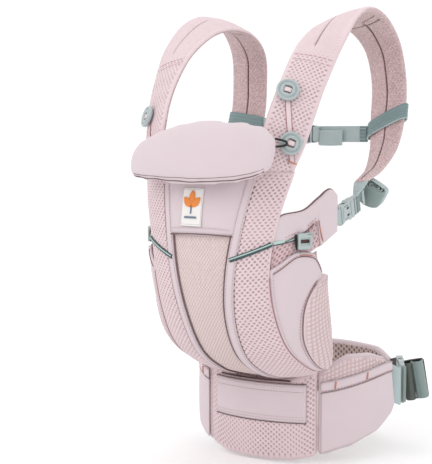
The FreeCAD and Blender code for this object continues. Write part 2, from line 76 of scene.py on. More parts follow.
# Rise of the thigh panel's top edge over THIGH_TOP, and the hem sewn below it, both from binding to leg
THIGH_RISE = [(0.50, 0.004), (0.57, 0.018), (0.63, 0.034), (0.70, 0.043), (0.795, 0.037), (0.90, 0.018),
              (0.96, -0.03), (1.0, -0.07)]
THIGH_HEM = [(0.505, 0.644), (0.57, 0.659), (0.63, 0.674), (0.69, 0.685), (0.76, 0.683), (0.83, 0.672),
             (0.895, 0.655), (0.94, 0.625), (0.965, 0.59)]
THIGH_BARTACK = [(0.725, 0.692), (0.79, 0.686), (0.855, 0.675)]
STRAP_THICK = 13.0
STRAP_LINE = [
    (86, -216, 386, 56, 36, 0), (93, -207, 415, 60, 36, 0), (98, -193, 449, 60, 35, 0),
    (101, -171, 486, 59, 30, 2), (102, -140, 525, 60, 22, 8), (101, -97, 556, 60, 12, 15),
    (101, -50, 568, 58, 2, 19), (101, -2, 560, 56, -4, 16), (104, 34, 532, 54, -6, 8),
    (108, 45, 488, 53, -6, 2), (109, 40, 441, 52, -6, 0), (112, 22, 401, 42, -8, 0),
    (115, -14, 373, 27, -12, 0), (117, -58, 359, 16, -14, 0)]
STRAP_ROOT = 15.0             # the padded roots reach this much further down than the CAD straps
RIGHT_INSET = 3.2             # the right strap's front part lies this much further in,
RIGHT_TRIM = 3.0              # and is this much narrower on each side
LEFT_OUTSET = 4.5             # the left strap's front part lies this much further out,
LEFT_ROOT_OUTSET = 8.0        # and its root this much more
BUTTONS = {"right": {"lower": (0.062, -6.0), "upper": (0.181, 16.3)},
           "left": {"lower": (0.030, -6.0), "upper": (0.140, -14.0)}}     # left pair moved a little
BUTTON_LIFT = 9.2            # the buttons' undersides stand this far out from the strap's middle
WING_LINE = [(80, -224, 256, 314), (91, -215, 266, 324), (105, -190, 274, 329), (115, -171, 284, 343),
             (122, -153, 296, 353),
             (128, -135, 307, 336)]
WING_THICK = 7.0
SLIDER_SCALE = 0.88
RAIL_HEIGHT = 293.0
RAIL_RISE = [(0.225, 0.704), (0.36, 0.724), (0.50, 0.746)]     # the rail's height share across the panel
RAIL_EXIT = (0.51, 0.748)                                      # and where it leaves the panel
CHEST_SHARE = 0.778
LOOP_SLOPE = 0.43             # rise of the right chest loop across the strap
LEFT_LOOP_SLOPE = 0.08
BUCKLE_ANGLE = 114.0
ROLL_CENTRE = np.array([121.0, -34.0, 343.0])
ROLL_AXIS = np.array([0.50, -0.56, 0.66])      # turned a little from the CAD one
SIDE_MOUTH = np.array([125.0, -110.0, 327.0])
SIDE_PULL = np.array([0.0, 0.97, 0.24])
SIDES = {"right": 1.0, "left": -1.0}


# ---- curves ------------------------------------------------------------------------------------------
def along(points, share):
    """Points at shares 0 to 1 of the way through evenly spaced control points, on a smooth curve."""
    p = np.array(points, float)
    if p.ndim == 1:
        p = p[:, None]
    share = np.clip(np.asarray(share, float), 0, 1)
    p = np.vstack([2 * p[0] - p[1], p, 2 * p[-1] - p[-2]])
    place = share * (len(points) - 1)
    i = np.minimum(place.astype(int), len(points) - 2)
    f = (place - i)[..., None]
    a, b, c, d = p[i], p[i + 1], p[i + 2], p[i + 3]
    out = b + 0.5 * f * (c - a + f * (2 * a - 5 * b + 4 * c - d + f * (3 * (b - c) + d - a)))
    return out[..., 0] if out.shape[-1] == 1 else out


def lookup(table, x):
    """Columns of a table (x, value, value ...) at x, joined by eased steps."""
    t = np.array(table, float)
    x = np.clip(np.asarray(x, float), t[0, 0], t[-1, 0])
    i = np.clip(np.searchsorted(t[:, 0], x, side="left") - 1, 0, len(t) - 2)
    f = (x - t[i, 0]) / (t[i + 1, 0] - t[i, 0])
    f = 0.4 * f * f * (3 - 2 * f) + 0.6 * f
    return [t[i, k] + (t[i + 1, k] - t[i, k]) * f for k in range(1, t.shape[1])]


def unit(v):
    return v / np.maximum(np.linalg.norm(v, axis=-1, keepdims=True), 1e-9)


def run_length(points):
    """Distance of each point from the first one, along the line."""
    return np.concatenate([[0], np.cumsum(np.linalg.norm(np.diff(points, axis=0), axis=1))])


def smooth(x, low, high):
    """Eased step from 0 at low to 1 at high."""
    f = np.clip((x - low) / (high - low), 0, 1)
    return f * f * (3 - 2 * f)


def vec(x, y, z):
    return np.stack(np.broadcast_arrays(np.asarray(x, float), np.asarray(y, float), np.asarray(z, float)), -1)


# ---- patterns in a fabric, in millimetres of cloth ---------------------------------------------------
def oval_holes(s, t, pitch=6.4, row=3.6, wide=1.55, tall=1.15):
    """1 inside the staggered oval holes of a spacer mesh, 0 on its threads."""
    k = np.round(t / row)
    ds = s - (k % 2) * pitch / 2
    ds = ds - pitch * np.round(ds / pitch)
    dt = t - k * row
    return 1 - smooth(np.hypot(ds / wide, dt / tall), 0.65, 1.25)


def waffle(s, t, pitch=5.4):
    """1 in the grooves of a square waffle mesh."""
    a = np.abs(s / pitch - np.round(s / pitch)) * pitch
    b = np.abs(t / pitch - np.round(t / pitch)) * pitch
    return 1 - smooth(np.minimum(a, b), 0.2, 1.3)


def diamonds(s, t, pitch=4.2):
    """1 in the openings of a fine diamond net."""
    a = np.abs(np.sin((s + t * 0.7) * math.pi / pitch))
    b = np.abs(np.sin((s - t * 0.7) * math.pi / pitch))
    return smooth(np.minimum(a, b), 0.25, 0.7)


# ---- mesh building -----------------------------------------------------------------------------------
def linked(name, data):
    obj = bpy.data.objects.new(name, data)
    bpy.context.scene.collection.objects.link(obj)
    return obj


def coordinates(mesh):
    co = np.empty(len(mesh.vertices) * 3)
    mesh.vertices.foreach_get("co", co)
    return co.reshape(-1, 3)


def mesh_object(name, verts, faces, materials, face_materials=None, attributes=None):
    """Object on the origin from points in millimetres and an array of faces with equal corner counts."""
    mesh = bpy.data.meshes.new(name)
    verts, faces = np.asarray(verts, float) * MM, np.asarray(faces)
    mesh.vertices.add(len(verts))
    mesh.vertices.foreach_set("co", verts.ravel())
    mesh.loops.add(faces.size)
    mesh.loops.foreach_set("vertex_index", faces.ravel())
    mesh.polygons.add(len(faces))
    mesh.polygons.foreach_set("loop_start", np.arange(0, faces.size, faces.shape[1]))
    mesh.update(calc_edges=True)
    for key, values in (attributes or {}).items():
        values = np.asarray(values, float)
        kind = "FLOAT" if values.ndim == 1 else "FLOAT_VECTOR"
        layer = mesh.attributes.new(key, kind, "POINT")
        layer.data.foreach_set("value" if values.ndim == 1 else "vector", values.ravel())
    for m in materials:
        mesh.materials.append(m)
    if face_materials is not None:
        mesh.polygons.foreach_set("material_index", np.asarray(face_materials, np.int32))
    mesh.polygons.foreach_set("use_smooth", [True] * len(mesh.polygons))
    mesh.validate()
    mesh.update()
    return linked(name, mesh)


def place(obj, slot_name, *nodes, body="carrier"):
    """Rides the piece on a body and hides the nodes it stands for. slot_name is not used."""
    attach(obj, body)
    if nodes:
        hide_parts(*nodes)
    return obj


def place_between(obj, node):
    """Webbing with its transform baked into the mesh; hides the node it stands for."""
    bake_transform(obj)
    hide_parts(node)
    return obj


def quads(rows, columns, wrap=False, ring=False):
    """Faces of a grid of points. wrap closes each row, ring closes the last row on the first."""
    i = np.arange(rows if ring else rows - 1)[:, None]
    j = np.arange(columns if wrap else columns - 1)[None, :]
    a, b = i * columns, (i + 1) % rows * columns
    k = (j + 1) % columns
    return np.stack([a + j, a + k, b + k, b + j], -1).reshape(-1, 4)


def arc_coordinates(P):
    """Distance along the cloth of each grid point: across a row from its middle, and up the columns."""
    step = np.linalg.norm(np.diff(P, axis=1), axis=2)
    s = np.concatenate([np.zeros((P.shape[0], 1)), np.cumsum(step, axis=1)], 1)
    s = s - s[:, [P.shape[1] // 2]]
    rise = np.linalg.norm(np.diff(P, axis=0), axis=2).mean(axis=1)
    t = np.concatenate([[0], np.cumsum(rise)])[:, None] + np.zeros_like(s)
    return s, t


def grid_normals(P, facing):
    """Unit normals of a grid, on the side that has a positive share of facing."""
    du = np.gradient(P, axis=1)
    dv = np.gradient(P, axis=0)
    n = unit(np.cross(du, dv))
    return n * np.sign(np.sum(n * facing, -1, keepdims=True).mean())


def shell(name, P, facing, thick, slots, relief=None, puff=0.0, lift=0.0):
    """Closed sheet on a grid of points. relief(s, t) gives (height, mask of painted shade in holes and
    grooves); puff crowns the middle.
    """
    N = grid_normals(P, np.asarray(facing, float))
    s, t = arc_coordinates(P)
    edge = np.minimum.reduce([s - s[:, [0]], s[:, [-1]] - s, t - t[0], t[-1] - t])
    half = thick / 2
    tuck = half * (1 - np.sqrt(np.clip(1 - np.clip(1 - edge / half, 0, 1) ** 2, 0, 1)))
    crown = puff * (1 - np.clip(1 - edge / (0.28 * (s[:, [-1]] - s[:, [0]])), 0, 1) ** 2)
    height, shade_mask = relief(s, t) if relief else (np.zeros_like(s), np.zeros_like(s))
    fade = smooth(edge, 1.0, 4.0)
    front = P + N * (lift + thick - tuck + crown + height * fade)[..., None]
    back = P + N * (lift + tuck)[..., None]
    rows, columns = s.shape
    count = rows * columns
    index = np.arange(count).reshape(rows, columns)
    back_index = index + count
    for line in (np.s_[0, :], np.s_[-1, :], np.s_[:, 0], np.s_[:, -1]):
        back_index[line] = index[line]
    f = quads(rows, columns)
    b = back_index.ravel()[f][:, ::-1]
    if np.dot(np.cross(P[0, 1] - P[0, 0], P[1, 0] - P[0, 0]), N[0, 0]) < 0:
        f, b = f[:, ::-1], b[:, ::-1]
    verts = np.concatenate([front.reshape(-1, 3), back.reshape(-1, 3)])
    used = np.zeros(2 * count, bool)
    used[:count] = True
    used[back_index.ravel()] = True
    renumber = np.cumsum(used) - 1
    faces = renumber[np.concatenate([f, b])]
    cloth = np.stack([s, t, np.zeros_like(s)], -1).reshape(-1, 3)
    attributes = {"cloth": np.concatenate([cloth, cloth])[used],
                  "hole": np.concatenate([(shade_mask * fade).ravel(), np.zeros(count)])[used]}
    materials = [0] * len(f) + [len(slots) - 1] * len(b)
    return mesh_object(name, verts[used], faces, slots, materials, attributes)


def tube(name, C, L, T, a, b, slots, relief=None, step=1.2, crown=0.12, end_round=None):
    """Padded strip through rows of: middle, width direction, outward direction, half width, half thickness.
    Both faces take the relief. The outer one has slot 0, the inner one the last, and of three the middle
    one is for the edges."""
    C, L, T = np.asarray(C), unit(np.asarray(L)), unit(np.asarray(T))
    rows = len(C)
    a, b = np.broadcast_to(a, rows).astype(float), np.broadcast_to(b, rows).astype(float)
    run = run_length(C)
    end = np.minimum(run, run[-1] - run)
    radius = b if end_round is None else np.full(rows, float(end_round))
    f = np.sqrt(np.clip(1 - np.clip(1 - end / radius, 0, 1) ** 2, 0.0004, 1))
    a = a - b * (1 - f)
    b = b * f
    n = max(int(2 * a.max() / step), 8)
    k = 5
    xi = np.linspace(-1, 1, n)
    arc = np.linspace(math.pi / 2, -math.pi / 2, k + 2)[1:-1]
    flat = (a - b)[:, None]
    swell = (1 - crown * xi ** 2)[None, :]
    x = np.concatenate([flat * xi, flat + b[:, None] * np.cos(arc), flat * -xi,
                        -flat - b[:, None] * np.cos(arc)], 1)
    level = b[:, None] * (1 - crown)
    y = np.concatenate([b[:, None] * swell, level * np.sin(arc), -b[:, None] * swell,
                        -level * np.sin(arc)], 1)
    columns = x.shape[1]
    s, t = x, np.broadcast_to(run[:, None], x.shape)
    height = np.zeros_like(x)
    shade_mask = np.zeros_like(x)
    if relief:
        fade = smooth(np.minimum(a[:, None] - np.abs(x), end[:, None]), 1.0, 5.0)
        for way, face in ((1, np.s_[:, :n]), (-1, np.s_[:, n + k:2 * n + k])):
            h, m = relief(s, t, way * a[:, None])
            height[face] = (way * h * fade)[face]
            shade_mask[face] = (m * fade)[face]
    P = C[:, None] + L[:, None] * x[..., None] + T[:, None] * (y + height)[..., None]
    faces = quads(rows, columns, wrap=True)
    last = len(slots) - 1
    edge_slots = [1] * k if len(slots) == 3 else [0] * (k // 2) + [last] * (k - k // 2)
    column_slot = np.array([0] * n + edge_slots + [last] * n + edge_slots[::-1])
    materials = np.tile(column_slot, rows - 1)
    if np.dot(np.cross(P[0, 1] - P[0, 0], P[1, 0] - P[0, 0]), T[0]) < 0:
        faces = faces[:, ::-1]
    cloth = np.stack([s, t, np.zeros_like(s)], -1).reshape(-1, 3)
    obj = mesh_object(name, P.reshape(-1, 3), faces, slots, materials, {"cloth": cloth, "hole": shade_mask.ravel()})
    cap_ends(obj, rows, columns)
    return obj


def cap_ends(obj, rows, columns):
    bm = bmesh.new()
    bm.from_mesh(obj.data)
    bm.verts.ensure_lookup_table()
    for start in (0, (rows - 1) * columns):
        bm.faces.new([bm.verts[start + i] for i in range(columns)])
    bmesh.ops.recalc_face_normals(bm, faces=bm.faces)
    bm.to_mesh(obj.data)
    bm.free()


def cord(name, points, radius, material, sides=8, wide=None, up=None):
    """Round or flat cord along a smooth curve through points."""
    P = along(points, np.linspace(0, 1, max(6 * len(points), 12)))
    tangent = unit(np.gradient(P, axis=0))
    up = np.array([0.0, 0, 1.0]) if up is None else np.asarray(up, float)
    side = unit(np.cross(tangent, np.broadcast_to(up, P.shape)))
    top = np.cross(side, tangent)
    angle = np.linspace(0, 2 * math.pi, sides, endpoint=False)
    wide = radius if wide is None else wide
    x, y = (radius * np.cos(angle))[None, :, None], (wide * np.sin(angle))[None, :, None]
    verts = (P[:, None] + side[:, None] * x + top[:, None] * y).reshape(-1, 3)
    lengthwise = np.repeat(np.arange(len(P)) * 3.0, sides)
    cloth = np.stack([np.tile(angle * wide, len(P)), lengthwise, np.zeros(len(verts))], -1)
    obj = mesh_object(name, verts, quads(len(P), sides, wrap=True), [material], None, {"cloth": cloth})
    cap_ends(obj, len(P), sides)
    return obj


# ---- materials ---------------------------------------------------------------------------------------
class Nodes:
    """Short way to build a material's node tree."""
    def __init__(self, name):
        self.material = bpy.data.materials.new(name)
        self.material.use_nodes = True
        self.tree = self.material.node_tree
        self.shader = self.tree.nodes["Principled BSDF"]

    def add(self, kind, **settings):
        node = self.tree.nodes.new(kind)
        for key, value in settings.items():
            if hasattr(node, key):
                setattr(node, key, value)
            else:
                node.inputs[key.replace("_", " ")].default_value = value
        return node

    def link(self, source, target):
        self.tree.links.new(source, target)

    def cloth(self):
        return self.add("ShaderNodeAttribute", attribute_name="cloth").outputs["Vector"]

    def noise(self, scale, detail):
        node = self.add("ShaderNodeTexNoise", Scale=scale, Detail=detail)
        self.link(self.add("ShaderNodeTexCoord").outputs["Object"], node.inputs["Vector"])
        return node.outputs["Fac"]

    def wave(self, scale, direction, vector):
        node = self.add("ShaderNodeTexWave", bands_direction=direction, Scale=scale, Distortion=0.6)
        node.inputs["Detail Scale"].default_value = 2.0
        self.link(vector, node.inputs["Vector"])
        return node.outputs["Fac"]

    def math(self, operation, a, b):
        node = self.add("ShaderNodeMath", operation=operation)
        for socket, value in zip(node.inputs, (a, b)):
            if isinstance(value, (int, float)):
                socket.default_value = value
            else:
                self.link(value, socket)
        return node.outputs[0]

    def ramp(self, fac, low, high, a, b):
        node = self.add("ShaderNodeValToRGB")
        node.color_ramp.elements[0].position, node.color_ramp.elements[1].position = low, high
        node.color_ramp.elements[0].color, node.color_ramp.elements[1].color = (*a, 1), (*b, 1)
        self.link(fac, node.inputs["Fac"])
        return node.outputs["Color"]

    def mix(self, fac, a, b, mode="MIX"):
        node = self.add("ShaderNodeMix", data_type="RGBA", blend_type=mode)
        for socket, value in ((node.inputs[0], fac), (node.inputs[6], a), (node.inputs[7], b)):
            if isinstance(value, (int, float)):
                socket.default_value = value
            elif isinstance(value, tuple):
                socket.default_value = (*value, 1)
            else:
                self.link(value, socket)
        return node.outputs[2]

    def finish(self, color, roughness, height=None, strength=0.3, distance=0.0003, sheen=0.0):
        self.link(color, self.shader.inputs["Base Color"])
        if isinstance(roughness, (int, float)):
            self.shader.inputs["Roughness"].default_value = roughness
        else:
            self.link(roughness, self.shader.inputs["Roughness"])
        if height is not None:
            bump = self.add("ShaderNodeBump", Strength=strength, Distance=distance)
            self.link(height, bump.inputs["Height"])
            self.link(bump.outputs["Normal"], self.shader.inputs["Normal"])
        if sheen:
            self.shader.inputs["Sheen Weight"].default_value = sheen
            self.shader.inputs["Sheen Roughness"].default_value = 0.5
        return self.material


def linear(*srgb):
    return tuple(c / 12.92 if c <= 0.04045 else ((c + 0.055) / 1.055) ** 2.4 for c in srgb)


def shade(color, factor):
    return tuple(min(c * factor, 1.0) for c in color)


def woven(name, color, thread=0.9, rough=0.82, mottle=0.06, sheen=0.25, hole_shade=None, bump=0.35,
          heather=0.0):
    """Woven or knitted cloth: crossing threads in the bump, soft mottling, and painted shade in the mesh
    holes.
    """
    n = Nodes(name)
    cloth = n.cloth()
    per_mm = 0.5 / thread
    threads = n.math("MULTIPLY", n.wave(per_mm, "X", cloth), n.wave(per_mm, "Y", cloth))
    blotch = n.noise(38, 4)
    fine = n.noise(900, 2)
    base = n.ramp(blotch, 0.3, 0.7, shade(color, 1 - mottle), shade(color, 1 + mottle * 0.5))
    base = n.mix(0.5, base, n.ramp(threads, 0.0, 1.0, shade(color, 0.93), shade(color, 1.03)))
    if heather:
        speck = n.noise(420, 1)
        base = n.mix(heather, base, n.ramp(speck, 0.42, 0.60, shade(color, 0.55), shade(color, 1.18)))
    if hole_shade:
        hole = n.add("ShaderNodeAttribute", attribute_name="hole").outputs["Fac"]
        base = n.mix(hole, base, hole_shade)
    height = n.math("ADD", threads, n.math("MULTIPLY", fine, 0.6))
    rough_map = n.math("ADD", n.math("MULTIPLY", fine, 0.12), rough - 0.06)
    return n.finish(base, rough_map, height, bump, 0.0004, sheen)


def ribbed(name, color, rib=2.4, rough=0.6):
    """Webbing: ribs along its length, with a fine cross weave."""
    n = Nodes(name)
    cloth = n.cloth()
    ribs = n.wave(0.5 / rib, "X", cloth)
    cross = n.wave(0.5 / 1.1, "Y", cloth)
    height = n.math("ADD", ribs, n.math("MULTIPLY", cross, 0.5))
    base = n.ramp(ribs, 0.1, 0.9, shade(color, 0.86), shade(color, 1.06))
    base = n.mix(0.35, base, n.ramp(n.noise(60, 3), 0.3, 0.7, shade(color, 0.9), shade(color, 1.05)))
    return n.finish(base, rough, height, 0.5, 0.0005, 0.1)


def moulded(name, color, rough=0.36):
    """Satin moulded plastic with a fine spark-eroded grain."""
    n = Nodes(name)
    grain = n.noise(1600, 3)
    base = n.ramp(n.noise(30, 2), 0.3, 0.7, shade(color, 0.95), shade(color, 1.03))
    rough_map = n.math("ADD", n.math("MULTIPLY", grain, 0.14), rough - 0.05)
    return n.finish(base, rough_map, grain, 0.12, 0.0002)


PINK = linear(0.815, 0.757, 0.776)
PINK_MESH = linear(0.865, 0.785, 0.800)
# Painted shade: the colour the air mesh's holes take where shade falls in them.
HOLE_SHADE = linear(0.66, 0.545, 0.555)
# The last colour given to a mesh or the lining is painted shade for its holes, grooves and seams.
MAT = {
    "smooth": woven("fabric_smooth", PINK, 0.7, 0.8, 0.03, 0.15, bump=0.15),
    "mesh": woven("fabric_air_mesh", PINK_MESH, 0.9, 0.85, 0.04, 0.15, HOLE_SHADE),
    # The side air mesh made darker for the wing's lower part: painted shade below the cover's hem.
    "mesh_dark": woven("fabric_wing_mesh", linear(0.83, 0.72, 0.735), 0.9, 0.85, 0.04, 0.15,
                       linear(0.55, 0.42, 0.43)),
    "mesh_fine": woven("fabric_fine_mesh", linear(0.860, 0.785, 0.795), 0.9, 0.85, 0.04, 0.15,
                       linear(0.73, 0.625, 0.625)),
    "sheer": woven("fabric_sheer_mesh", linear(0.87, 0.80, 0.80), 0.8, 0.8, 0.05, 0.1,
                   linear(0.72, 0.63, 0.61)),
    "lining": woven("fabric_lining", linear(0.80, 0.70, 0.705), 0.8, 0.9, 0.08, 0.2, linear(0.36, 0.24, 0.22),
                    heather=0.4),
    "lumbar": woven("fabric_lumbar_mesh", linear(0.77, 0.69, 0.67), 0.8, 0.9, 0.08, 0.1,
                    linear(0.36, 0.26, 0.25)),
    "web_light": ribbed("webbing_light", linear(0.68, 0.745, 0.745)),
    "web_mid": ribbed("webbing_mid", linear(0.52, 0.585, 0.57)),
    "web_dark": ribbed("webbing_dark", linear(0.33, 0.35, 0.33)),
    "web_teal": ribbed("webbing_teal", linear(0.45, 0.54, 0.545), 7.0, 0.32),
    "plastic": moulded("plastic_sage", linear(0.655, 0.695, 0.70), 0.3),
    "plastic_light": moulded("plastic_light_sage", linear(0.66, 0.71, 0.705), 0.28),
    "rail_dark": moulded("rail_dark", linear(0.21, 0.28, 0.29), 0.3),
    "rail_light": moulded("rail_light", linear(0.66, 0.76, 0.74), 0.32),
    # Black elastic; the same colour also paints the shade in the belt's slits.
    "black": woven("black_elastic_and_slit_shade", linear(0.10, 0.095, 0.09), 0.7, 0.8, 0.1, 0.0),
    "pink_band": woven("band_pink", linear(0.87, 0.80, 0.81), 0.6, 0.75, 0.05, 0.1),
    # Thin dark cords along seams, hems and edges take this colour: painted shade in the seams' gaps and under
    # the edges.
    "seam_shade": woven("piping_shadow", linear(0.47, 0.37, 0.37), 0.6, 0.8, 0.05, 0.0),
    "bartack": woven("thread_orange", linear(0.74, 0.50, 0.43), 0.5, 0.7, 0.05, 0.0),
}
# The darkest colour here is no thread: it is painted shade, used in the belt's top gap and behind the
# slider's slot.
THREADS = {"thread": (0.74, 0.65, 0.66), "thread_pink": (0.80, 0.66, 0.68), "thread_red": (0.66, 0.44, 0.45),
           "gap_shade": (0.30, 0.20, 0.20)}
PRINTS = {"label": (0.92, 0.91, 0.90), "label_orange": (0.88, 0.52, 0.22), "label_grey": (0.40, 0.46, 0.54)}
for key, color in THREADS.items():
    MAT[key] = woven(key, linear(*color), 0.6, 0.7, 0.05, 0.0)
for key, color in PRINTS.items():
    MAT[key] = woven(key, linear(*color), 0.5, 0.6, 0.02, 0.0)


# ---- reliefs -----------------------------------------------------------------------------------------
# Each relief gives a height and a mask that paints shade into its holes and grooves.
def air_mesh(s, t, *_):
    m = oval_holes(s, t)
    return -0.9 * m, m


def fine_waffle(s, t, *_):
    m = waffle(s, t)
    return 0.5 - 0.9 * m, m * 0.8


def lumbar_mesh(s, t, *_):
    m = oval_holes(s, t, 8, 4.6, 2.2, 1.5)
    return -0.9 * m, m


def sheer_net(s, t, *_):
    m = diamonds(s, t)
    return -0.4 * m, m * 0.8


# ---- front panel -------------------------------------------------------------------------------------
def panel_surface(across, share):
    """Point of the front panel: across is 0 on its middle line and 1 at its edge, share is 0 to 1 upwards."""
    centre = along(CENTRE_LINE, share)
    edge = along(EDGE_LINE, share)
    turn = across * math.pi / 2
    back = 1 - np.cos(turn)
    full = 1 + PANEL_FULLNESS * np.sin(2 * turn) ** 2
    return vec(edge[..., 0] * np.sin(turn) * full, centre[..., 0] + (edge[..., 1] - centre[..., 0]) * back,
               centre[..., 1] + (edge[..., 2] - centre[..., 1]) * back)


def thigh_rise(across, share):
    """Lift of the thigh panel's top edge: a peak over the thigh that falls away to the leg."""
    return np.interp(across, *np.transpose(THIGH_RISE)) * smooth(share, 0.5, THIGH_TOP)


def panel_grid(left, right, bottom, top, step=1.2, rise=None):
    """Grid of panel points between two seams, given as functions of the height share."""
    mid = panel_surface(np.zeros(60), np.linspace(bottom, top, 60))
    rows = max(int(np.linalg.norm(np.diff(mid, axis=0), axis=1).sum() / step), 3)
    share = np.linspace(bottom, top, rows)
    a, b = left(share), right(share)
    widest = np.max((b - a)) * 175
    columns = max(int(widest / step), 4)
    f = np.linspace(0, 1, columns)[None, :]
    across = a[:, None] + (b - a)[:, None] * f
    height = share[:, None] + (rise(across, share[:, None]) if rise else 0 * across)
    return panel_surface(across, height)


def binding(s):
    return along(BINDING_SEAM, s)


def thigh(s):
    return along(THIGH_SEAM, s)


def leg(s):
    """Seam between the thigh panel and the leg pad, which ends below the thigh panel's top corner."""
    return np.interp(s, *along(LEG_PAD_SEAM, np.linspace(0, 1, 200)).T)


def flip(P, side):
    """Mirrors a grid to the left side, keeping its columns running left to right."""
    return P if side > 0 else (P * (-1, 1, 1))[:, ::-1]


FRONT = (0, -1, 0.1)


def front_panel():
    centre = panel_grid(lambda s: -binding(s), binding, 0.0, 0.99, 1.15)
    place(shell("panel_centre_mesh_v", centre, FRONT, 1.6, [MAT["sheer"]], sheer_net), "sheer_mesh",
          "panel_centre_mesh")
    liner_low = panel_grid(lambda s: -np.ones_like(s), lambda s: np.ones_like(s), 0.0, THIGH_TOP + 0.01, 3.0)
    liner_top = panel_grid(lambda s: -thigh(s), thigh, THIGH_TOP - 0.01, 0.99, 3.0)
    low = shell("panel_liner_v", liner_low, FRONT, 2.4, [MAT["lining"]], lift=-3.6)
    top = shell("panel_liner_top_v", liner_top, FRONT, 2.4, [MAT["lining"]], lift=-3.6)
    place(low, "lining", "panel_liner")
    place(top, "lining", "panel_liner")
    pocket = panel_grid(lambda s: -binding(s) + 0.01, lambda s: binding(s) - 0.01, 0.775, 0.985, 3.0)
    place(shell("hood_pocket_v", pocket, FRONT, 1.8, [MAT["smooth"]], puff=2.2, lift=2.0), "cover_fabric",
          "hood_pocket")
    for name, side in SIDES.items():
        P = flip(panel_grid(lambda s: binding(s) - 0.03, lambda s: binding(s) + 0.035, 0.0, 0.985, 1.6), side)
        place(shell(f"panel_binding_{name}_v", P, FRONT, 3.2, [MAT["smooth"]], lift=1.8), "cover_fabric",
              "panel_bindings")
        flare = 0.15 if side < 0 else 0.0
        P = flip(panel_grid(lambda s: binding(s) + 0.01, lambda s: thigh(s) + flare * smooth(s, 0.7, 1.0),
                            0.0, 0.99, 1.1), side)
        place(shell(f"panel_side_mesh_{name}_v", P, FRONT, 3.0, [MAT["mesh"]], air_mesh, puff=1.5),
              "air_mesh",
              f"panel_side_mesh_{name}")
        P = flip(panel_grid(lambda s: thigh(s) - 0.005, leg, 0.02, THIGH_TOP, 2.5, thigh_rise), side)
        place(shell(f"thigh_panel_{name}_v", P, (side, -1, 0), 3.0, [MAT["smooth"]], puff=1.5, lift=0.3),
              "cover_fabric",
              f"thigh_panel_{name}")
        P = flip(panel_grid(lambda s: leg(s) - 0.005, lambda s: 1.015 + 0 * s, 0.06, 0.573, 1.3), side)
        place(shell(f"leg_pad_{name}_v", P, (side, -1, 0), 6.0, [MAT["mesh_fine"]], fine_waffle, puff=4.0),
              "air_mesh",
              f"leg_pad_{name}")


# ---- waist belt --------------------------------------------------------------------------------------
def ring(angle, outward=0.0, z=0.0):
    """Point of the waist loop and its outward direction. The angle, in degrees, is 0 at the front."""
    a = np.radians(angle)
    out = unit(vec(np.sin(a) / WAIST_HALF_WIDTH, -np.cos(a) / WAIST_HALF_DEPTH, 0 * a))
    return vec(WAIST_HALF_WIDTH * np.sin(a), -WAIST_HALF_DEPTH * np.cos(a),
               z + 0 * a) + out * np.asarray(outward)[..., None], out


UP = np.array([0.0, 0.0, 1.0])


def belt_tube(name, start, end, edges, inner, outer, slots, relief=None, step=1.2, crown=0.12):
    rows = max(int(abs(end - start) * 2.35 / step), 8)
    angle = np.linspace(start, end, rows)
    low, high = edges(np.abs(angle))
    C, out = ring(angle, (inner + outer) / 2, (low + high) / 2)
    return tube(name, C, np.broadcast_to(UP, C.shape), out, (high - low) / 2, (outer - inner) / 2, slots,
                relief, step, crown)


def belt_sheet(name, start, end, edges, lift, thick, slots, relief=None, step=2.5, puff=0.0):
    """Flat cloth laid on the belt."""
    angle = np.linspace(start, end, max(int(abs(end - start) * 2.4 / step), 4))
    low, high = edges(np.abs(angle))
    rows = max(int(np.max(high - low) / step), 4)
    f = np.linspace(0, 1, rows)[:, None]
    z = low[None, :] + (high - low)[None, :] * f
    P, out = ring(np.broadcast_to(angle, z.shape), 0.0, z)
    return shell(name, P, out.mean((0, 1)), thick, slots, relief, puff, lift=lift)


def slanted(obj):
    """The belt wing's end leans: its lower corner reaches further round the waist than its upper one."""
    co = coordinates(obj.data) / MM
    share = smooth(np.abs(co[:, 0]), 122, 141) * (co[:, 1] < 20)
    co[:, 1] += share * (110 - co[:, 2]) * WING_LEAN
    obj.data.vertices.foreach_set("co", (co * MM).ravel())
    obj.data.update()
    return obj


def belt_edges(angle):
    return lookup(BELT_EDGES, angle)


def strip_edges(angle):
    return lookup([(35, 91, 105), (80, 111, 125)], angle)


def pocket_edges(angle):
    return belt_edges(angle)[0] + 4, strip_edges(angle)[0]


def webbing_edges(angle):
    low = lookup([(80, 74), (133, 58)], angle)[0]
    return low, low + 50


def lumbar_edges(angle):
    return lookup([(133, 56, 109), (150, 46, 121), (180, 40, 123)], 180 - np.abs(180 - angle))


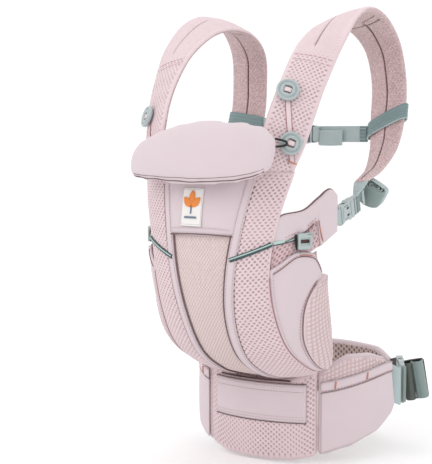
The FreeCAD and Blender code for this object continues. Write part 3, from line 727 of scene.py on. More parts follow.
def waist_belt():
    seam = FRONT_HALF_ANGLE
    front = belt_tube("belt_front_v", -seam, seam, belt_edges, -BELT_THICK, 0.5,
                      [MAT["mesh"], MAT["mesh"], MAT["lining"]], air_mesh)
    place(front, "air_mesh", "belt_front_cover", "belt_foam")
    for name, side in SIDES.items():
        wing = belt_tube(f"belt_wing_{name}_v", side * (seam + 0.3), side * WING_END_ANGLE, belt_edges,
                         -BELT_THICK, 0,
                         [MAT["mesh_fine"], MAT["smooth"], MAT["lining"]], fine_waffle)
        place(slanted(wing), "air_mesh", f"belt_wing_cover_{name}")
        pocket = belt_sheet(f"belt_pocket_{name}_v", side * (seam + 1.5), side * (WING_END_ANGLE - 1.5),
                            pocket_edges, 0.2, 1.6,
                            [MAT["smooth"]], puff=1.2)
        place(slanted(pocket), "cover_fabric", f"belt_pocket_{name}")
        strip = belt_sheet(f"belt_strip_{name}_v", side * (seam + 1.2), side * (WING_END_ANGLE - 1.0),
                           strip_edges, 1.2, 1.8,
                           [MAT["smooth"]])
        place(slanted(strip), "cover_fabric", "belt_size_strips")
    backing = belt_sheet("belt_backing_v", -33, 33, lambda a: (92.0 + 0 * a, 119.0 + 0 * a), -13.5, 2.0,
                         [MAT["lining"]])
    place(backing, "lining")
    patch = belt_sheet("belt_patch_v", *PATCH_ANGLES, lambda a: (PATCH_LOW + 0 * a, PATCH_HIGH + 0 * a), 0.4,
                       1.8,
                       [MAT["smooth"]])
    place(patch, "cover_fabric", "belt_patch")
    pad = belt_tube("lumbar_pad_v", LUMBAR_END_ANGLE, 360 - LUMBAR_END_ANGLE, lumbar_edges, -12, 0,
                    [MAT["lumbar"], MAT["smooth"], MAT["lumbar"]], lumbar_mesh)
    place(pad, "lining", "lumbar_pad")


# ---- shoulder straps ---------------------------------------------------------------------------------
def strap_frame(share):
    row = along(STRAP_LINE, share)
    C = row[..., :3]
    behind, ahead = (along(STRAP_LINE, np.clip(share + e, 0, 1))[..., :3] for e in (-0.01, 0.01))
    tangent = unit(ahead - behind)
    turn, lift = np.radians(row[..., 4]), np.radians(row[..., 5])
    across = vec(np.cos(turn) * np.cos(lift), np.sin(turn) * np.cos(lift), np.sin(lift))
    across = unit(across - tangent * np.sum(across * tangent, -1, keepdims=True))
    return C, across, np.cross(across, tangent), row[..., 3] / 2


MESH_END = 0.262             # share of the strap's length where the open mesh gives way to the fine one
PLEAT = (0.285, 0.425)


def strap_relief(length):
    def relief(s, t, half):
        outer = half > 0
        f = t / length
        change = smooth(f, MESH_END, MESH_END + 0.01)
        holes = oval_holes(s, t, 5.8, 3.6, 1.35, 1.05) * (1 - change)
        fine = oval_holes(s, t, 3.4, 2.4, 0.8, 0.7) * change * 0.45
        knit = oval_holes(s, t, 4.6, 3.4, 1.0, 0.9) * smooth(s, -1, 6) * 0.35
        m = np.where(outer, holes + fine, knit)
        pleat = smooth(f, PLEAT[0], PLEAT[0] + 0.012) * (1 - smooth(f, PLEAT[1], PLEAT[1] + 0.012))
        middle = 1 - smooth(np.abs(s + 3 * outer), 0.3, 1.5)
        seam = middle * np.where(outer, pleat, smooth(f, 0.5, 0.53))
        tuck = (1 - smooth(np.abs(f - 0.505), 0.0015, 0.004)) * (s > 1) * (s < 20)
        tuck = tuck + (1 - smooth(np.abs(f - 0.53), 0.0015, 0.004)) * (s < -1) * (s > -20)
        tuck = tuck + (1 - smooth(np.abs(f - 0.535), 0.0015, 0.004)) * (s > 1) * (s < 20)
        tuck = np.where(outer, 0.0, tuck)
        wrinkle = 0.5 * np.sin(t / 9.0 + s * 0.05) * np.where(outer, 0.3, 1.0)
        # The returned mask paints shade into the holes, the pleat's seam and the tucks.
        return wrinkle - 0.8 * m - 2.2 * seam - 2.0 * tuck, np.clip(m + seam + tuck, 0, 1)
    return relief


def shoulder_straps():
    share = np.linspace(0, 1, 2600)
    C = strap_frame(share)[0]
    run = run_length(C)
    length = run[-1]
    share = np.interp(np.linspace(0, length, int(length / 1.15)), run, share)
    C, across, out, half = strap_frame(share)
    thick = np.where(share < 0.75, STRAP_THICK, STRAP_THICK - (share - 0.75) * 24) / 2
    root = np.linspace(STRAP_ROOT, 1, 13)[:, None]
    down = unit(C[0] - C[4])
    C = np.concatenate([C[0] + down * root - out[0] * root * 0.12, C])

    def from_root(values):
        return np.concatenate([np.repeat(values[:1], len(root), axis=0), values])

    across, out, half, thick = map(from_root, (across, out, half, thick))
    thick[:len(root)] *= np.linspace(0.45, 1, len(root))
    front = from_root(1 - smooth(share, 0.18, 0.42))
    base = from_root(1 - smooth(share, 0, 0.13))
    for name, side in SIDES.items():
        mirror = np.array([side, 1, 1])
        shift = -RIGHT_INSET * front if side > 0 else LEFT_OUTSET * front + LEFT_ROOT_OUTSET * base
        width = half - (RIGHT_TRIM * front if side > 0 else 0)
        middle = C + across * shift[:, None]
        obj = tube(f"shoulder_strap_{name}_v", middle * mirror, across * mirror * side, out * mirror, width,
                   thick,
                   [MAT["mesh"], MAT["lining"]], strap_relief(length), 1.15, crown=0.42)
        place(obj, "air_mesh", f"shoulder_strap_{name}", "strap_foam")
        for mark, at in (("cross_seam", MESH_END), ("cross_seam_2", MESH_END + 0.012)):
            c, ac, o, h = strap_frame(at)
            x = np.linspace(-h + 4, h - 4, 24)
            y = STRAP_THICK / 2 * (1 - 0.42 * (x / h) ** 2) + 0.2
            path = (c + ac * x[:, None] + o * y[:, None]) * mirror
            place(stitches(f"strap_{mark}_{name}", path, o * mirror, MAT["thread_pink"]), "cover_fabric")


# ---- thread, webbing and hard parts -------------------------------------------------------------------
def stitches(name, path, normal, material, pitch=4.2, length=2.9, radius=0.36):
    """Row of single stitches along a path, each one a small spindle of thread."""
    path = np.asarray(path, float)
    run = run_length(path)
    at = np.arange(pitch / 2, run[-1], pitch)
    centre = np.stack([np.interp(at, run, path[:, k]) for k in range(3)], -1)
    ahead = np.stack([np.interp(at + 0.5, run, path[:, k]) for k in range(3)], -1)
    tangent = unit(ahead - centre + 1e-6)
    normal = np.broadcast_to(np.asarray(normal, float), path.shape)
    up = unit(np.stack([np.interp(at, run, normal[:, k]) for k in range(3)], -1))
    side = unit(np.cross(tangent, up))
    x = np.array([-0.5, -0.38, 0, 0.38, 0.5]) * length
    r = np.array([0.12, 0.8, 1.0, 0.8, 0.12]) * radius
    angle = np.linspace(0, 2 * math.pi, 6, endpoint=False)
    P = (centre[:, None, None] + tangent[:, None, None] * x[:, None, None]
         + side[:, None, None] * (r[:, None] * np.cos(angle))[..., None]
         + up[:, None, None] * (r[:, None] * np.sin(angle))[..., None])
    first = np.arange(len(at))[:, None, None] * 30
    ends = np.array([[0, 1, 2, 3], [0, 3, 4, 5], [24, 27, 26, 25], [24, 29, 28, 27]])
    faces = np.concatenate([(first + f).reshape(-1, 4) for f in (quads(5, 6, wrap=True), ends)])
    verts = P.reshape(-1, 3)
    return mesh_object(name, verts, faces, [material], None, {"cloth": verts})


def ribbon(name, points, ways, width, material, thick=1.6, smooth_path=True, ridge=0.0):
    """Webbing through points, with its width along ways, which is one direction or one for each point."""
    points = np.asarray(points, float)
    ways = np.broadcast_to(np.asarray(ways, float), points.shape)
    length = np.linalg.norm(np.diff(points, axis=0), axis=1).sum()
    f = np.linspace(0, 1, max(int(length / 1.5), 12))
    if smooth_path:
        C = along(points, f)
    else:
        C = np.stack([np.interp(f * (len(points) - 1), range(len(points)), c) for c in points.T], -1)
    L = unit(along(ways, f))
    T = unit(np.cross(L, np.gradient(C, axis=0)))
    relief = None
    if ridge:
        def relief(s, t, half):
            band = 1 - smooth(np.abs(np.abs(s) - 0.12 * width), 0.3, 1.2)
            return -ridge * band, band * 0.0
    return tube(name, C, L, T, width / 2, thick / 2, [material], relief, 1.5, crown=0.1, end_round=0.4)


def basis(origin, ex, ey):
    """Axes of a part in its place: X along ex, Y near ey, Z across both."""
    ex = unit(np.array(ex, float))
    ez = unit(np.cross(ex, np.array(ey, float)))
    return np.array(origin, float), np.stack([ex, np.cross(ez, ex), ez])


def set_in(points, where, side=1.0):
    origin, axes = where
    return (origin + np.asarray(points, float) @ axes) * (side, 1, 1)


def rounded_rect(x0, y0, x1, y1, r, steps=5):
    out = []
    for cx, cy, start in ((x1 - r, y1 - r, 0), (x0 + r, y1 - r, 90), (x0 + r, y0 + r, 180),
                          (x1 - r, y0 + r, 270)):
        for i in range(steps + 1):
            a = math.radians(start + 90 * i / steps)
            out.append((cx + r * math.cos(a), cy + r * math.sin(a)))
    return out


def prism(outline, low, high):
    """Points and faces of a block that stands on an outline, between two heights."""
    xy = np.array(outline, float)
    n = len(xy)
    verts = np.concatenate([np.c_[xy, np.full(n, low)], np.c_[xy, np.full(n, high)]])
    faces = [list(range(n))[::-1], list(range(n, 2 * n))]
    faces += [[i, (i + 1) % n, n + (i + 1) % n, n + i] for i in range(n)]
    return verts, faces


def mirrored(edge):
    """Outline that goes along edge and back along its mirror image across local X."""
    return edge + [(x, -y) for x, y in reversed(edge)]


def block(x0, x1, y0, y1, z0, z1, r=0.8):
    return prism(rounded_rect(x0, y0, x1, y1, r, 3), z0, z1)


def loose_object(name, solid):
    mesh = bpy.data.meshes.new(name)
    mesh.from_pydata([tuple(v) for v in solid[0]], [], solid[1])
    return linked(name, mesh)


def settled(obj):
    """The object's mesh with its modifiers applied; the object itself is removed."""
    bpy.context.view_layer.update()
    mesh = bpy.data.meshes.new_from_object(obj.evaluated_get(bpy.context.evaluated_depsgraph_get()))
    bpy.data.objects.remove(obj)
    return mesh


def carve(name, adds, cuts, where, side, material, bevel=0.5):
    """Moulded part: solids joined, cuts taken out, edges rounded, and set in its place."""
    base = loose_object("base", adds[0])
    tools = []
    for operation, solids in (("UNION", adds[1:]), ("DIFFERENCE", cuts)):
        for solid in solids:
            tool = loose_object("tool", solid)
            tools.append(tool)
            modifier = base.modifiers.new("cut", "BOOLEAN")
            modifier.operation, modifier.object, modifier.solver = operation, tool, "EXACT"
    rounding = base.modifiers.new("round", "BEVEL")
    rounding.width, rounding.segments, rounding.limit_method = bevel, 2, "ANGLE"
    rounding.angle_limit = math.radians(35)
    mesh = settled(base)
    for tool in tools:
        bpy.data.objects.remove(tool)
    mesh.vertices.foreach_set("co", (set_in(coordinates(mesh), where, side) * MM).ravel())
    if side < 0:
        mesh.flip_normals()
    mesh.materials.clear()
    mesh.materials.append(material)
    mesh.polygons.foreach_set("use_smooth", [True] * len(mesh.polygons))
    mesh.set_sharp_from_angle(angle=math.radians(32))
    mesh.update()
    return linked(name, mesh)


# ---- side-release buckles -----------------------------------------------------------------------------
HALF_THICK = 4.2
WEBBING_DROP = 5.4


def buckle(name, width, female_length, male_length, where, side, female_body, male_body, female_node,
           male_node):
    """Socket and plug about the socket's mouth: the plug pulls out along local X, and Z faces outward."""
    half, slot = width / 2 + 2.2, width / 2 + 0.6
    back = -female_length
    edge = [(back, 2 - half), (back + 2, -half), (back + 9, -half), (back + 12, 1.6 - half), (-7, 1.6 - half),
            (-4, -half), (0, -half)]
    socket = prism(mirrored(edge), -HALF_THICK, HALF_THICK)
    cuts = [block(back + 9, 1, 2 - half, half - 2, -2.4, 2.4),
            block(back + 3, back + 6.4, -slot, slot, -9, 9, 1.2)]
    for y in (-1, 1):
        cuts.append(block(back + 13, -8, y * half - 3.2, y * half + 3.2, -2.5, 2.5))
        cuts.append(block(-12.0, -4.4, y * half * 0.36 - 1.5, y * half * 0.36 + 1.5, 2.0, 9, 1.2))
        cuts.append(block(back + 15, -6, y * (half - 4.4) - 0.6, y * (half - 4.4) + 0.6, 3.3, 9, 0.5))
    # A dark plate inside the socket, seen through its slots: painted shade in the cavity.
    shade_plate = carve(f"{name}_well", [block(back + 13, -3.2, 3.5 - half, half - 3.5, 2.1, 2.7)], [], where, side,
                 MAT["rail_dark"], 0.1)
    place(shade_plate, "plastic_grey", body=female_body)
    adds = [socket, prism(rounded_rect(back + 10, 5 - half, -2.5, half - 5, 3), 3.5, HALF_THICK + 0.7)]
    place(carve(f"{name}_socket", adds, cuts, where, side, MAT["plastic"]), "plastic_grey", female_node,
          body=female_body)

    edge = [(0.6, 1.5 - half), (2.4, -half), (male_length - 14, -half), (male_length - 12, 1.2 - half),
            (male_length - 1.5, 1.2 - half), (male_length, 2.7 - half)]
    adds = [prism(mirrored(edge), -3.4, 3.4)]
    for y in (-1, 1):
        adds.append(block(12.5 + back, 2, y * (half - 4.2) - 1.5, y * (half - 4.2) + 1.5, -1.8, 1.8))
        adds.append(prism(rounded_rect(14.5 + back, y * (half - 4.0) - 1.8, -9.5, y * (half - 4.0) + 1.8,
                                       1.4), -2.0, 2.0))
    adds.append(block(back + 16.5, 2, -1.8, 1.8, -1.8, 1.8))
    adds.append(prism(rounded_rect(2.2, 3 - half, male_length - 13.6, half - 3, 1.5), 2.8, 4.1))
    cuts = [block(x, x + 3.4, -slot, slot, -9, 9, 1.2) for x in (male_length - 12.6, male_length - 6.0)]
    place(carve(f"{name}_plug", adds, cuts, where, side, MAT["plastic"]), "plastic_grey", male_node,
          body=male_body)


def bar_loop(name, x, reach, width, where, side, material, slot_name, body):
    """Webbing that goes round a bar at x, with both ends lying towards local X of reach."""
    way = 1 if reach > x else -1
    path = [(reach, 0, 1.1), (x + 4 * way, 0, 3.4), (x + 1.2 * way, 0, 5.0), (x - 1.8 * way, 0, 3.4),
            (x - 2.3 * way, 0, 0),
            (x - 1.8 * way, 0, -3.4), (x + 1.2 * way, 0, -5.0), (x + 4 * way, 0, -3.4), (reach, 0, -1.1)]
    points = set_in(path, where, side)
    obj = ribbon(name, points, where[1][1] * (side, 1, 1), width, material, 1.5)
    place(obj, slot_name, body=body)


# ---- head support ------------------------------------------------------------------------------------
PILLOW_LINE = [(-104, -243, 382, 11, 6), (-88, -248, 388, 23, 9), (-62, -256, 392.5, 31, 10.5),
               (-32, -260, 395.5, 37, 11),
               (0, -262, 397, 40, 11), (30, -260, 397.5, 39, 11), (60, -256, 398, 36, 10.5),
               (86, -248, 398, 28, 9.5),
               (103, -243, 396, 13, 6)]
PILLOW_LEAN = unit(np.array([0, 0.25, 0.97]))
LEFT_LOOP_DROP = 21.0         # the left head loop hangs this much lower than the right one
PILLOW_PRESSURE = 4.0
PILLOW_CAP = 0.005           # metres
PILLOW_SPARE = 5.6           # the cover pulls in this far as it fills


def inflate(obj, pressure, cap, voxel=0.005, frames=20):
    """Cloth simulation of a closed cover under pressure. No point moves further than cap."""
    remesh = obj.modifiers.new("remesh", "REMESH")
    remesh.mode, remesh.voxel_size = "VOXEL", voxel
    name, materials = obj.name, list(obj.data.materials)
    obj.name = "before"
    body = linked("inflating", settled(obj))
    rest = coordinates(body.data)
    cloth = body.modifiers.new("cloth", "CLOTH")
    cloth.settings.use_pressure = True
    cloth.settings.uniform_pressure_force = pressure
    cloth.settings.effector_weights.gravity = 0
    cloth.point_cache.frame_end = frames
    scene = bpy.context.scene
    for i in range(1, frames + 1):
        scene.frame_set(i)
    moved = bpy.data.meshes.new_from_object(body.evaluated_get(bpy.context.evaluated_depsgraph_get()))
    step = coordinates(moved) - rest
    far = np.linalg.norm(step, axis=1, keepdims=True)
    final = rest + step * np.minimum(1, cap / np.maximum(far, 1e-9))
    body.modifiers.clear()
    scene.frame_set(1)
    body.data.vertices.foreach_set("co", final.ravel())
    even = body.modifiers.new("even", "SMOOTH")
    even.iterations = 12
    finer = body.modifiers.new("finer", "SUBSURF")
    finer.levels = finer.render_levels = 1
    mesh = settled(body)
    mesh.materials.clear()
    for m in materials:
        mesh.materials.append(m)
    mesh.polygons.foreach_set("material_index", [0] * len(mesh.polygons))
    mesh.polygons.foreach_set("use_smooth", [True] * len(mesh.polygons))
    layer = mesh.attributes.new("cloth", "FLOAT_VECTOR", "POINT")
    layer.data.foreach_set("vector", (coordinates(mesh)[:, [0, 2, 1]] / MM).ravel())
    return linked(name, mesh)


def on_surface(obj, points, lift):
    """Moves each point to the nearest place on obj, lift outside it."""
    bpy.context.view_layer.update()
    found = [obj.closest_point_on_mesh(tuple(p * MM)) for p in points]
    return np.array([np.array(spot) / MM + np.array(normal) * lift for _, spot, normal, _ in found])


def head_support():
    rows = np.array(PILLOW_LINE, float)
    x = np.linspace(rows[0, 0], rows[-1, 0], 90)
    y, z, tall, thick = (np.interp(x, rows[:, 0], rows[:, k]) for k in range(1, 5))
    T = unit(vec(x / 300, -1 + 0 * x, 0 * x))
    T = unit(T - np.sum(T * PILLOW_LEAN, -1, keepdims=True) * PILLOW_LEAN)
    spare = PILLOW_SPARE
    lean = np.broadcast_to(PILLOW_LEAN, T.shape)
    obj = tube("head_support_v", vec(x, y, z), lean, T, tall + spare, thick * 0.9, [MAT["smooth"]], None, 2.5,
               0.5)
    obj = inflate(obj, PILLOW_PRESSURE, PILLOW_CAP)
    seam_x = np.linspace(-102, 101, 90)
    y, z, tall, thick = (np.interp(seam_x, rows[:, 0], rows[:, k]) for k in range(1, 5))
    # The two cords take the dark seam colour: painted shade along the pillow's seams.
    for mark, low, out in (("edge", 0.985, 0.66), ("upper", 0.84, 0.93)):
        bow = vec(seam_x, y, z) - PILLOW_LEAN * (tall * low)[:, None]
        bow = bow + np.array([0, -1, 0.1]) * (thick * out)[:, None]
        bow = on_surface(obj, bow[::5], 0.2)
        place(cord(f"head_support_piping_{mark}", bow, 0.7 if mark == "edge" else 0.3, MAT["seam_shade"]),
              "cover_fabric",
              body="head_support")
    place(obj, "cover_fabric", "head_support_cover", "head_support_foam", body="head_support")
    for name, side in SIDES.items():
        loop = [(91, -243, 414), (97, -233, 413), (101, -224, 410.5), (101, -222.5, 407), (97, -230, 405),
                (92, -242, 405)]
        drop = np.array([0, 0, 0 if side > 0 else -LEFT_LOOP_DROP])
        place(cord(f"head_loop_{name}", (np.array(loop, float) + drop) * (side, 1, 1), 1.3, MAT["black"]),
              "black_elastic",
              *(["head_loops"] if side > 0 else []), body="head_support")


# ---- strap buttons ------------------------------------------------------------------------------------
def button_place(share, inside):
    centre, across, out, _ = strap_frame(share)
    return centre - across * inside, across, out


def ring_button(name, where, side, body, node):
    """Round button with a raised rim, a groove and a square eye."""
    profile = [(13.0, 0.0, 0), (13.8, 0.8, 0), (13.8, 3.2, 0), (13.1, 4.2, 0), (11.9, 4.5, 0), (11.1, 4.0, 0),
               (10.6, 3.1, 0),
               (9.9, 2.8, 0), (9.2, 3.3, 0), (8.5, 4.6, 0.2), (7.6, 5.0, 0.5), (6.3, 4.9, 0.9), (5.5, 4.3, 1),
               (5.2, 3.0, 1),
               (5.2, 0.6, 1), (5.8, 0.0, 1)]
    angle = np.linspace(0, 2 * math.pi, 72, endpoint=False)
    c, s = np.cos(angle), np.sin(angle)
    square = (np.abs(c) ** 5 + np.abs(s) ** 5) ** -0.2 * 0.92
    rows = [np.stack([r * c * (1 + k * (square - 1)), r * s * (1 + k * (square - 1)), h + 0 * c], -1) for r,
            h, k in profile]
    verts = set_in(np.array(rows).reshape(-1, 3), where, side)
    faces = quads(len(profile), len(angle), wrap=True, ring=True)
    if side > 0:
        faces = faces[:, ::-1]
    obj = mesh_object(name, verts, faces, [MAT["plastic"]])
    place(obj, "plastic_grey", node, body=body)
    knob = set_in([(x, 0, 2.2 + 1.6 * (1 - (x / 5.0) ** 2)) for x in (-4.6, -3, 0, 3, 4.6)], where, side)
    tab = ribbon(f"{name}_tab", knob, where[1][1] * (side, 1, 1), 5.6, MAT["pink_band"], 1.4)
    place(tab, "pink_band", body=body)


def strap_buttons():
    for side_name, places in BUTTONS.items():
        side = SIDES[side_name]
        mirror = np.array([side, 1, 1])
        low, high = places["lower"], places["upper"]
        f = np.linspace(-0.42 if side > 0 else -0.5, 1.16, 60)
        C, across, out, _ = strap_frame(low[0] + (high[0] - low[0]) * f)
        inside = low[1] + (high[1] - low[1]) * f
        C = C - across * inside[:, None]
        run = run_length(C)
        C = C + out * (6.9 + 0.35 * np.sin(run * 2 * math.pi / 3.4))[:, None]
        band = tube(f"button_band_{side_name}_v", C * mirror, across * mirror * side, out * mirror, 3.2, 0.7,
                    [MAT["pink_band"]],
                    None, 1.1, 0.1, 0.4)
        place(band, "pink_band", *(["button_bands"] if side > 0 else []))
        for k in (-1, 1):
            line = (C + across * 3.3 * k + out * 0.3)[::4] * mirror
            place(cord(f"button_band_seam_{side_name}_{'ab'[k > 0]}", line, 0.5, MAT["thread_red"], 6),
                  "pink_band")
        end, ac, o = C[0], across[0], out[0]
        tack = np.array([end - ac * 5.5 + o * 0.5, end + o * 0.7, end + ac * 5.5 + o * 0.5]) * mirror
        place(cord(f"button_bartack_{side_name}", tack, 0.9, MAT["bartack"]), "pink_band")
        for name, (share, inside) in places.items():
            centre, ac, o = button_place(share, inside)
            where = basis(centre + o * BUTTON_LIFT, ac, np.cross(o, ac))
            ring_button(f"strap_button_{name}_{side_name}_v", where, side, f"button_{name}_{side_name}",
                        f"strap_button_{name}_{side_name}")


# ---- side wings, rails and sliders --------------------------------------------------------------------
def wing_frame(f):
    """Row of WING_LINE values, run and outward direction at f: 0 at the panel's edge, 1 near the buckle."""
    share = (3 * np.asarray(f, float) + 1) / (len(WING_LINE) - 1)
    step = along(WING_LINE, share + 0.02) - along(WING_LINE, share - 0.02)
    run = unit(vec(step[..., 0], step[..., 1], 0))
    return along(WING_LINE, share), run, np.cross(run, UP)


def wing_sheet(name, side, f0, f1, low_share, high_share, lift, thick, slots, relief=None, puff=0.0,
               step=1.4):
    f = np.linspace(f0, f1, int((f1 - f0) * 62 / step) + 4)
    row, _, out = wing_frame(f)
    low = row[:, 2] + (row[:, 3] - row[:, 2]) * low_share(f)
    high = row[:, 2] + (row[:, 3] - row[:, 2]) * high_share(f)
    v = np.linspace(0, 1, int(np.max(high - low) / step) + 3)[:, None]
    z = low + (high - low) * v
    P = vec(row[:, 0] + 0 * z, row[:, 1] + 0 * z, z)
    P = P + out * (lift - 1.5 * ((z - row[:, 2]) / (row[:, 3] - row[:, 2]) - 0.5)[..., None] ** 2)
    return shell(name, P * (side, 1, 1), out.mean(0) * (side, 1, 1), thick, slots, relief, puff)


def wing_folds(s, t, *_):
    """Soft creases that run down from the wing's top edge."""
    crease = 1.3 * np.exp(-((s + 9 + 0.55 * t) / 4.5) ** 2) - 1.1 * np.exp(-((s - 2 + 0.4 * t) / 3.5) ** 2)
    return crease + 0.8 * np.exp(-((s - 22 + 0.3 * t) / 6) ** 2) + 0.25 * np.sin(s / 3.1 + t / 7), 0 * s


def side_wings():
    def seam(f):
        rise = 0.44 + 0.14 * np.clip(f / 0.55, 0, 1)
        return rise * (1 - smooth(f, 0.60, 0.72))

    for name, side in SIDES.items():
        mirror = np.array([side, 1, 1])
        zero, one = (lambda f: 0 * f), (lambda f: 1 + 0 * f)
        cover = wing_sheet(f"side_wing_{name}_v", side, -0.25, 1.17, seam, one, 1.6, 3.4, [MAT["smooth"]],
                           wing_folds, 1.2)
        place(cover, "cover_fabric", f"side_wing_{name}")
        under = wing_sheet(f"side_wing_mesh_{name}_v", side, -0.32, 0.86, zero, lambda f: seam(f) + 0.12,
                           -1.6, 4.2,
                           [MAT["mesh_dark"]], air_mesh, 0.6)
        place(under, "air_mesh")
        inner = wing_sheet(f"side_wing_back_{name}_v", side, -0.2, 1.15, zero, one, -3.6, 3.4,
                           [MAT["lining"]], None, 0.8, 2.6)
        place(inner, "lining")
        row, _, out = wing_frame(np.linspace(-0.05, 1.14, 34))
        top = vec(row[:, 0], row[:, 1], row[:, 3] + 0.4) + out * 1.0
        place(cord(f"side_wing_binding_{name}", top * mirror, 0.9, MAT["seam_shade"]), "cover_fabric")
        for k, shift in (("hem", 0.2), ("a", 1.8), ("b", 5.2)):
            f = np.linspace(0.02, 0.56, 30)
            row, _, out = wing_frame(f)
            z = row[:, 2] + (row[:, 3] - row[:, 2]) * seam(f) + shift
            line = vec(row[:, 0], row[:, 1], z) + out * 5.6
            if k == "hem":
                seam_line = cord(f"side_wing_hem_{name}", line[::3] * mirror, 0.7, MAT["seam_shade"], 8)
            else:
                seam_line = stitches(f"side_wing_stitch_{k}_{name}", line * mirror, out * mirror,
                                     MAT["thread_red"])
            place(seam_line, "cover_fabric")
        row, _, out = wing_frame(np.array([0.63, 0.655, 0.69, 0.735]))
        z = np.array([317.0, 309, 300, 291.5])
        tack = vec(row[:, 0], row[:, 1], z) + out * 5.9
        place(cord(f"side_wing_bartack_{name}", tack * mirror, 1.1, MAT["bartack"], 8, 0.6), "cover_fabric")
        rail(name, side)
        slider(name, side)


def panel_point(across, share, offset=0.0):
    """Point that far outside the front panel, and the panel's direction there."""
    across, share = np.broadcast_arrays(np.asarray(across, float), np.asarray(share, float))
    e = 0.01
    du = panel_surface(across + e, share) - panel_surface(across - e, share)
    dv = panel_surface(across, np.clip(share + e, 0, 1)) - panel_surface(across, np.clip(share - e, 0, 1))
    n = unit(np.cross(du, dv))
    return panel_surface(across, share) + n * np.asarray(offset)[..., None], n


def rail(name, side):
    mirror = np.array([side, 1, 1])
    across = np.linspace(0.225, 0.50, 9)
    share = np.interp(across, *np.transpose(RAIL_RISE))
    P = panel_point(across, share, 4.9)[0] * mirror
    place(cord(f"seat_rail_dark_{name}", P, 1.9, MAT["rail_dark"], 14, 2.9), "rail_cord",
          *(["seat_rails"] if side > 0 else []))
    # A thin light cord along the dark rail's top is a painted highlight.
    light = panel_point(across, share + 0.0025, 6.7)[0] * mirror
    place(cord(f"seat_rail_painted_highlight_{name}", light, 0.5, MAT["rail_light"], 8, 0.75), "rail_cord")
    row, _, out = wing_frame(np.array([0.0, 0.12, 0.24]))
    start = panel_point(*RAIL_EXIT, 4.0)[0]
    outer = vec(row[:, 0], row[:, 1], RAIL_HEIGHT + np.array([0.5, 2.5, 4.5])) + out * 4.6
    outer = np.concatenate([start[None], outer])
    place(cord(f"seat_rail_light_{name}", outer * mirror, 1.3, MAT["rail_light"], 12, 2.0), "rail_cord")
    # A thin dark cord along the light rail's underside is painted shade.
    under = outer - np.array([0, 0, 2.2])
    place(cord(f"seat_rail_underside_shade_{name}", under * mirror, 0.9, MAT["rail_dark"]), "rail_cord")


def slider(name, side):
    row, run, out = wing_frame(0.31)
    centre = vec(row[0], row[1], RAIL_HEIGHT) + out * (WING_THICK / 2 + 3.2)
    origin, axes = basis(centre, run, UP)
    where = (origin, axes * SLIDER_SCALE)
    plate = prism(rounded_rect(-11, -11, 11, 11, 3.5), 0, 2.6)
    adds = [plate, prism(rounded_rect(-11.4, -11, -8.6, 10, 1.2), 0.4, 4.8),
            prism(rounded_rect(-9.4, 4.6, 10.8, 10.8, 1.6), 1, 4.4),
            prism(rounded_rect(-9.4, -11, 8.8, -5.4, 1.6), 1, 4.2),
            prism(rounded_rect(6.6, -5.8, 11.0, 5.2, 2.0), 1, 4.2),
            prism(rounded_rect(4, 8.2, 14.0, 11.4, 1.0), 0.6, 3.4)]
    cuts = [prism(rounded_rect(-8.2, -2.8, 7.6, 2.4, 2.4), -2, 9),
            prism(rounded_rect(2.4, 8.4, 11.6, 9.8, 0.6), 2.6, 9)]
    # A dark plate behind the slot: painted shade in the slot.
    shade_plate = carve(f"seat_slider_well_{name}", [prism(rounded_rect(-9.0, -4.2, 8.8, 3.8, 2.0), 0.2, 1.2)], [],
                 where, side, MAT["gap_shade"], 0.2)
    place(shade_plate, "rail_cord", body=f"seat_slide_{name}")
    place(carve(f"seat_slider_{name}_v", adds, cuts, where, side, MAT["plastic_light"], 0.45), "plastic_grey",
          f"seat_slider_{name}",
          body=f"seat_slide_{name}")
    # A black strip beside the slider's left edge.
    loop = set_in([(-13.2, 9.5, 0.4), (-13.6, 4, 1.4), (-13.2, -4, 1.4), (-11.2, -12, 0.4)], where, side)
    place(ribbon(f"seat_slider_dark_strip_{name}", loop, where[1][0] * (side, 1, 1), 3.4, MAT["black"], 1.2),
          "black_elastic",
          body=f"seat_slide_{name}")


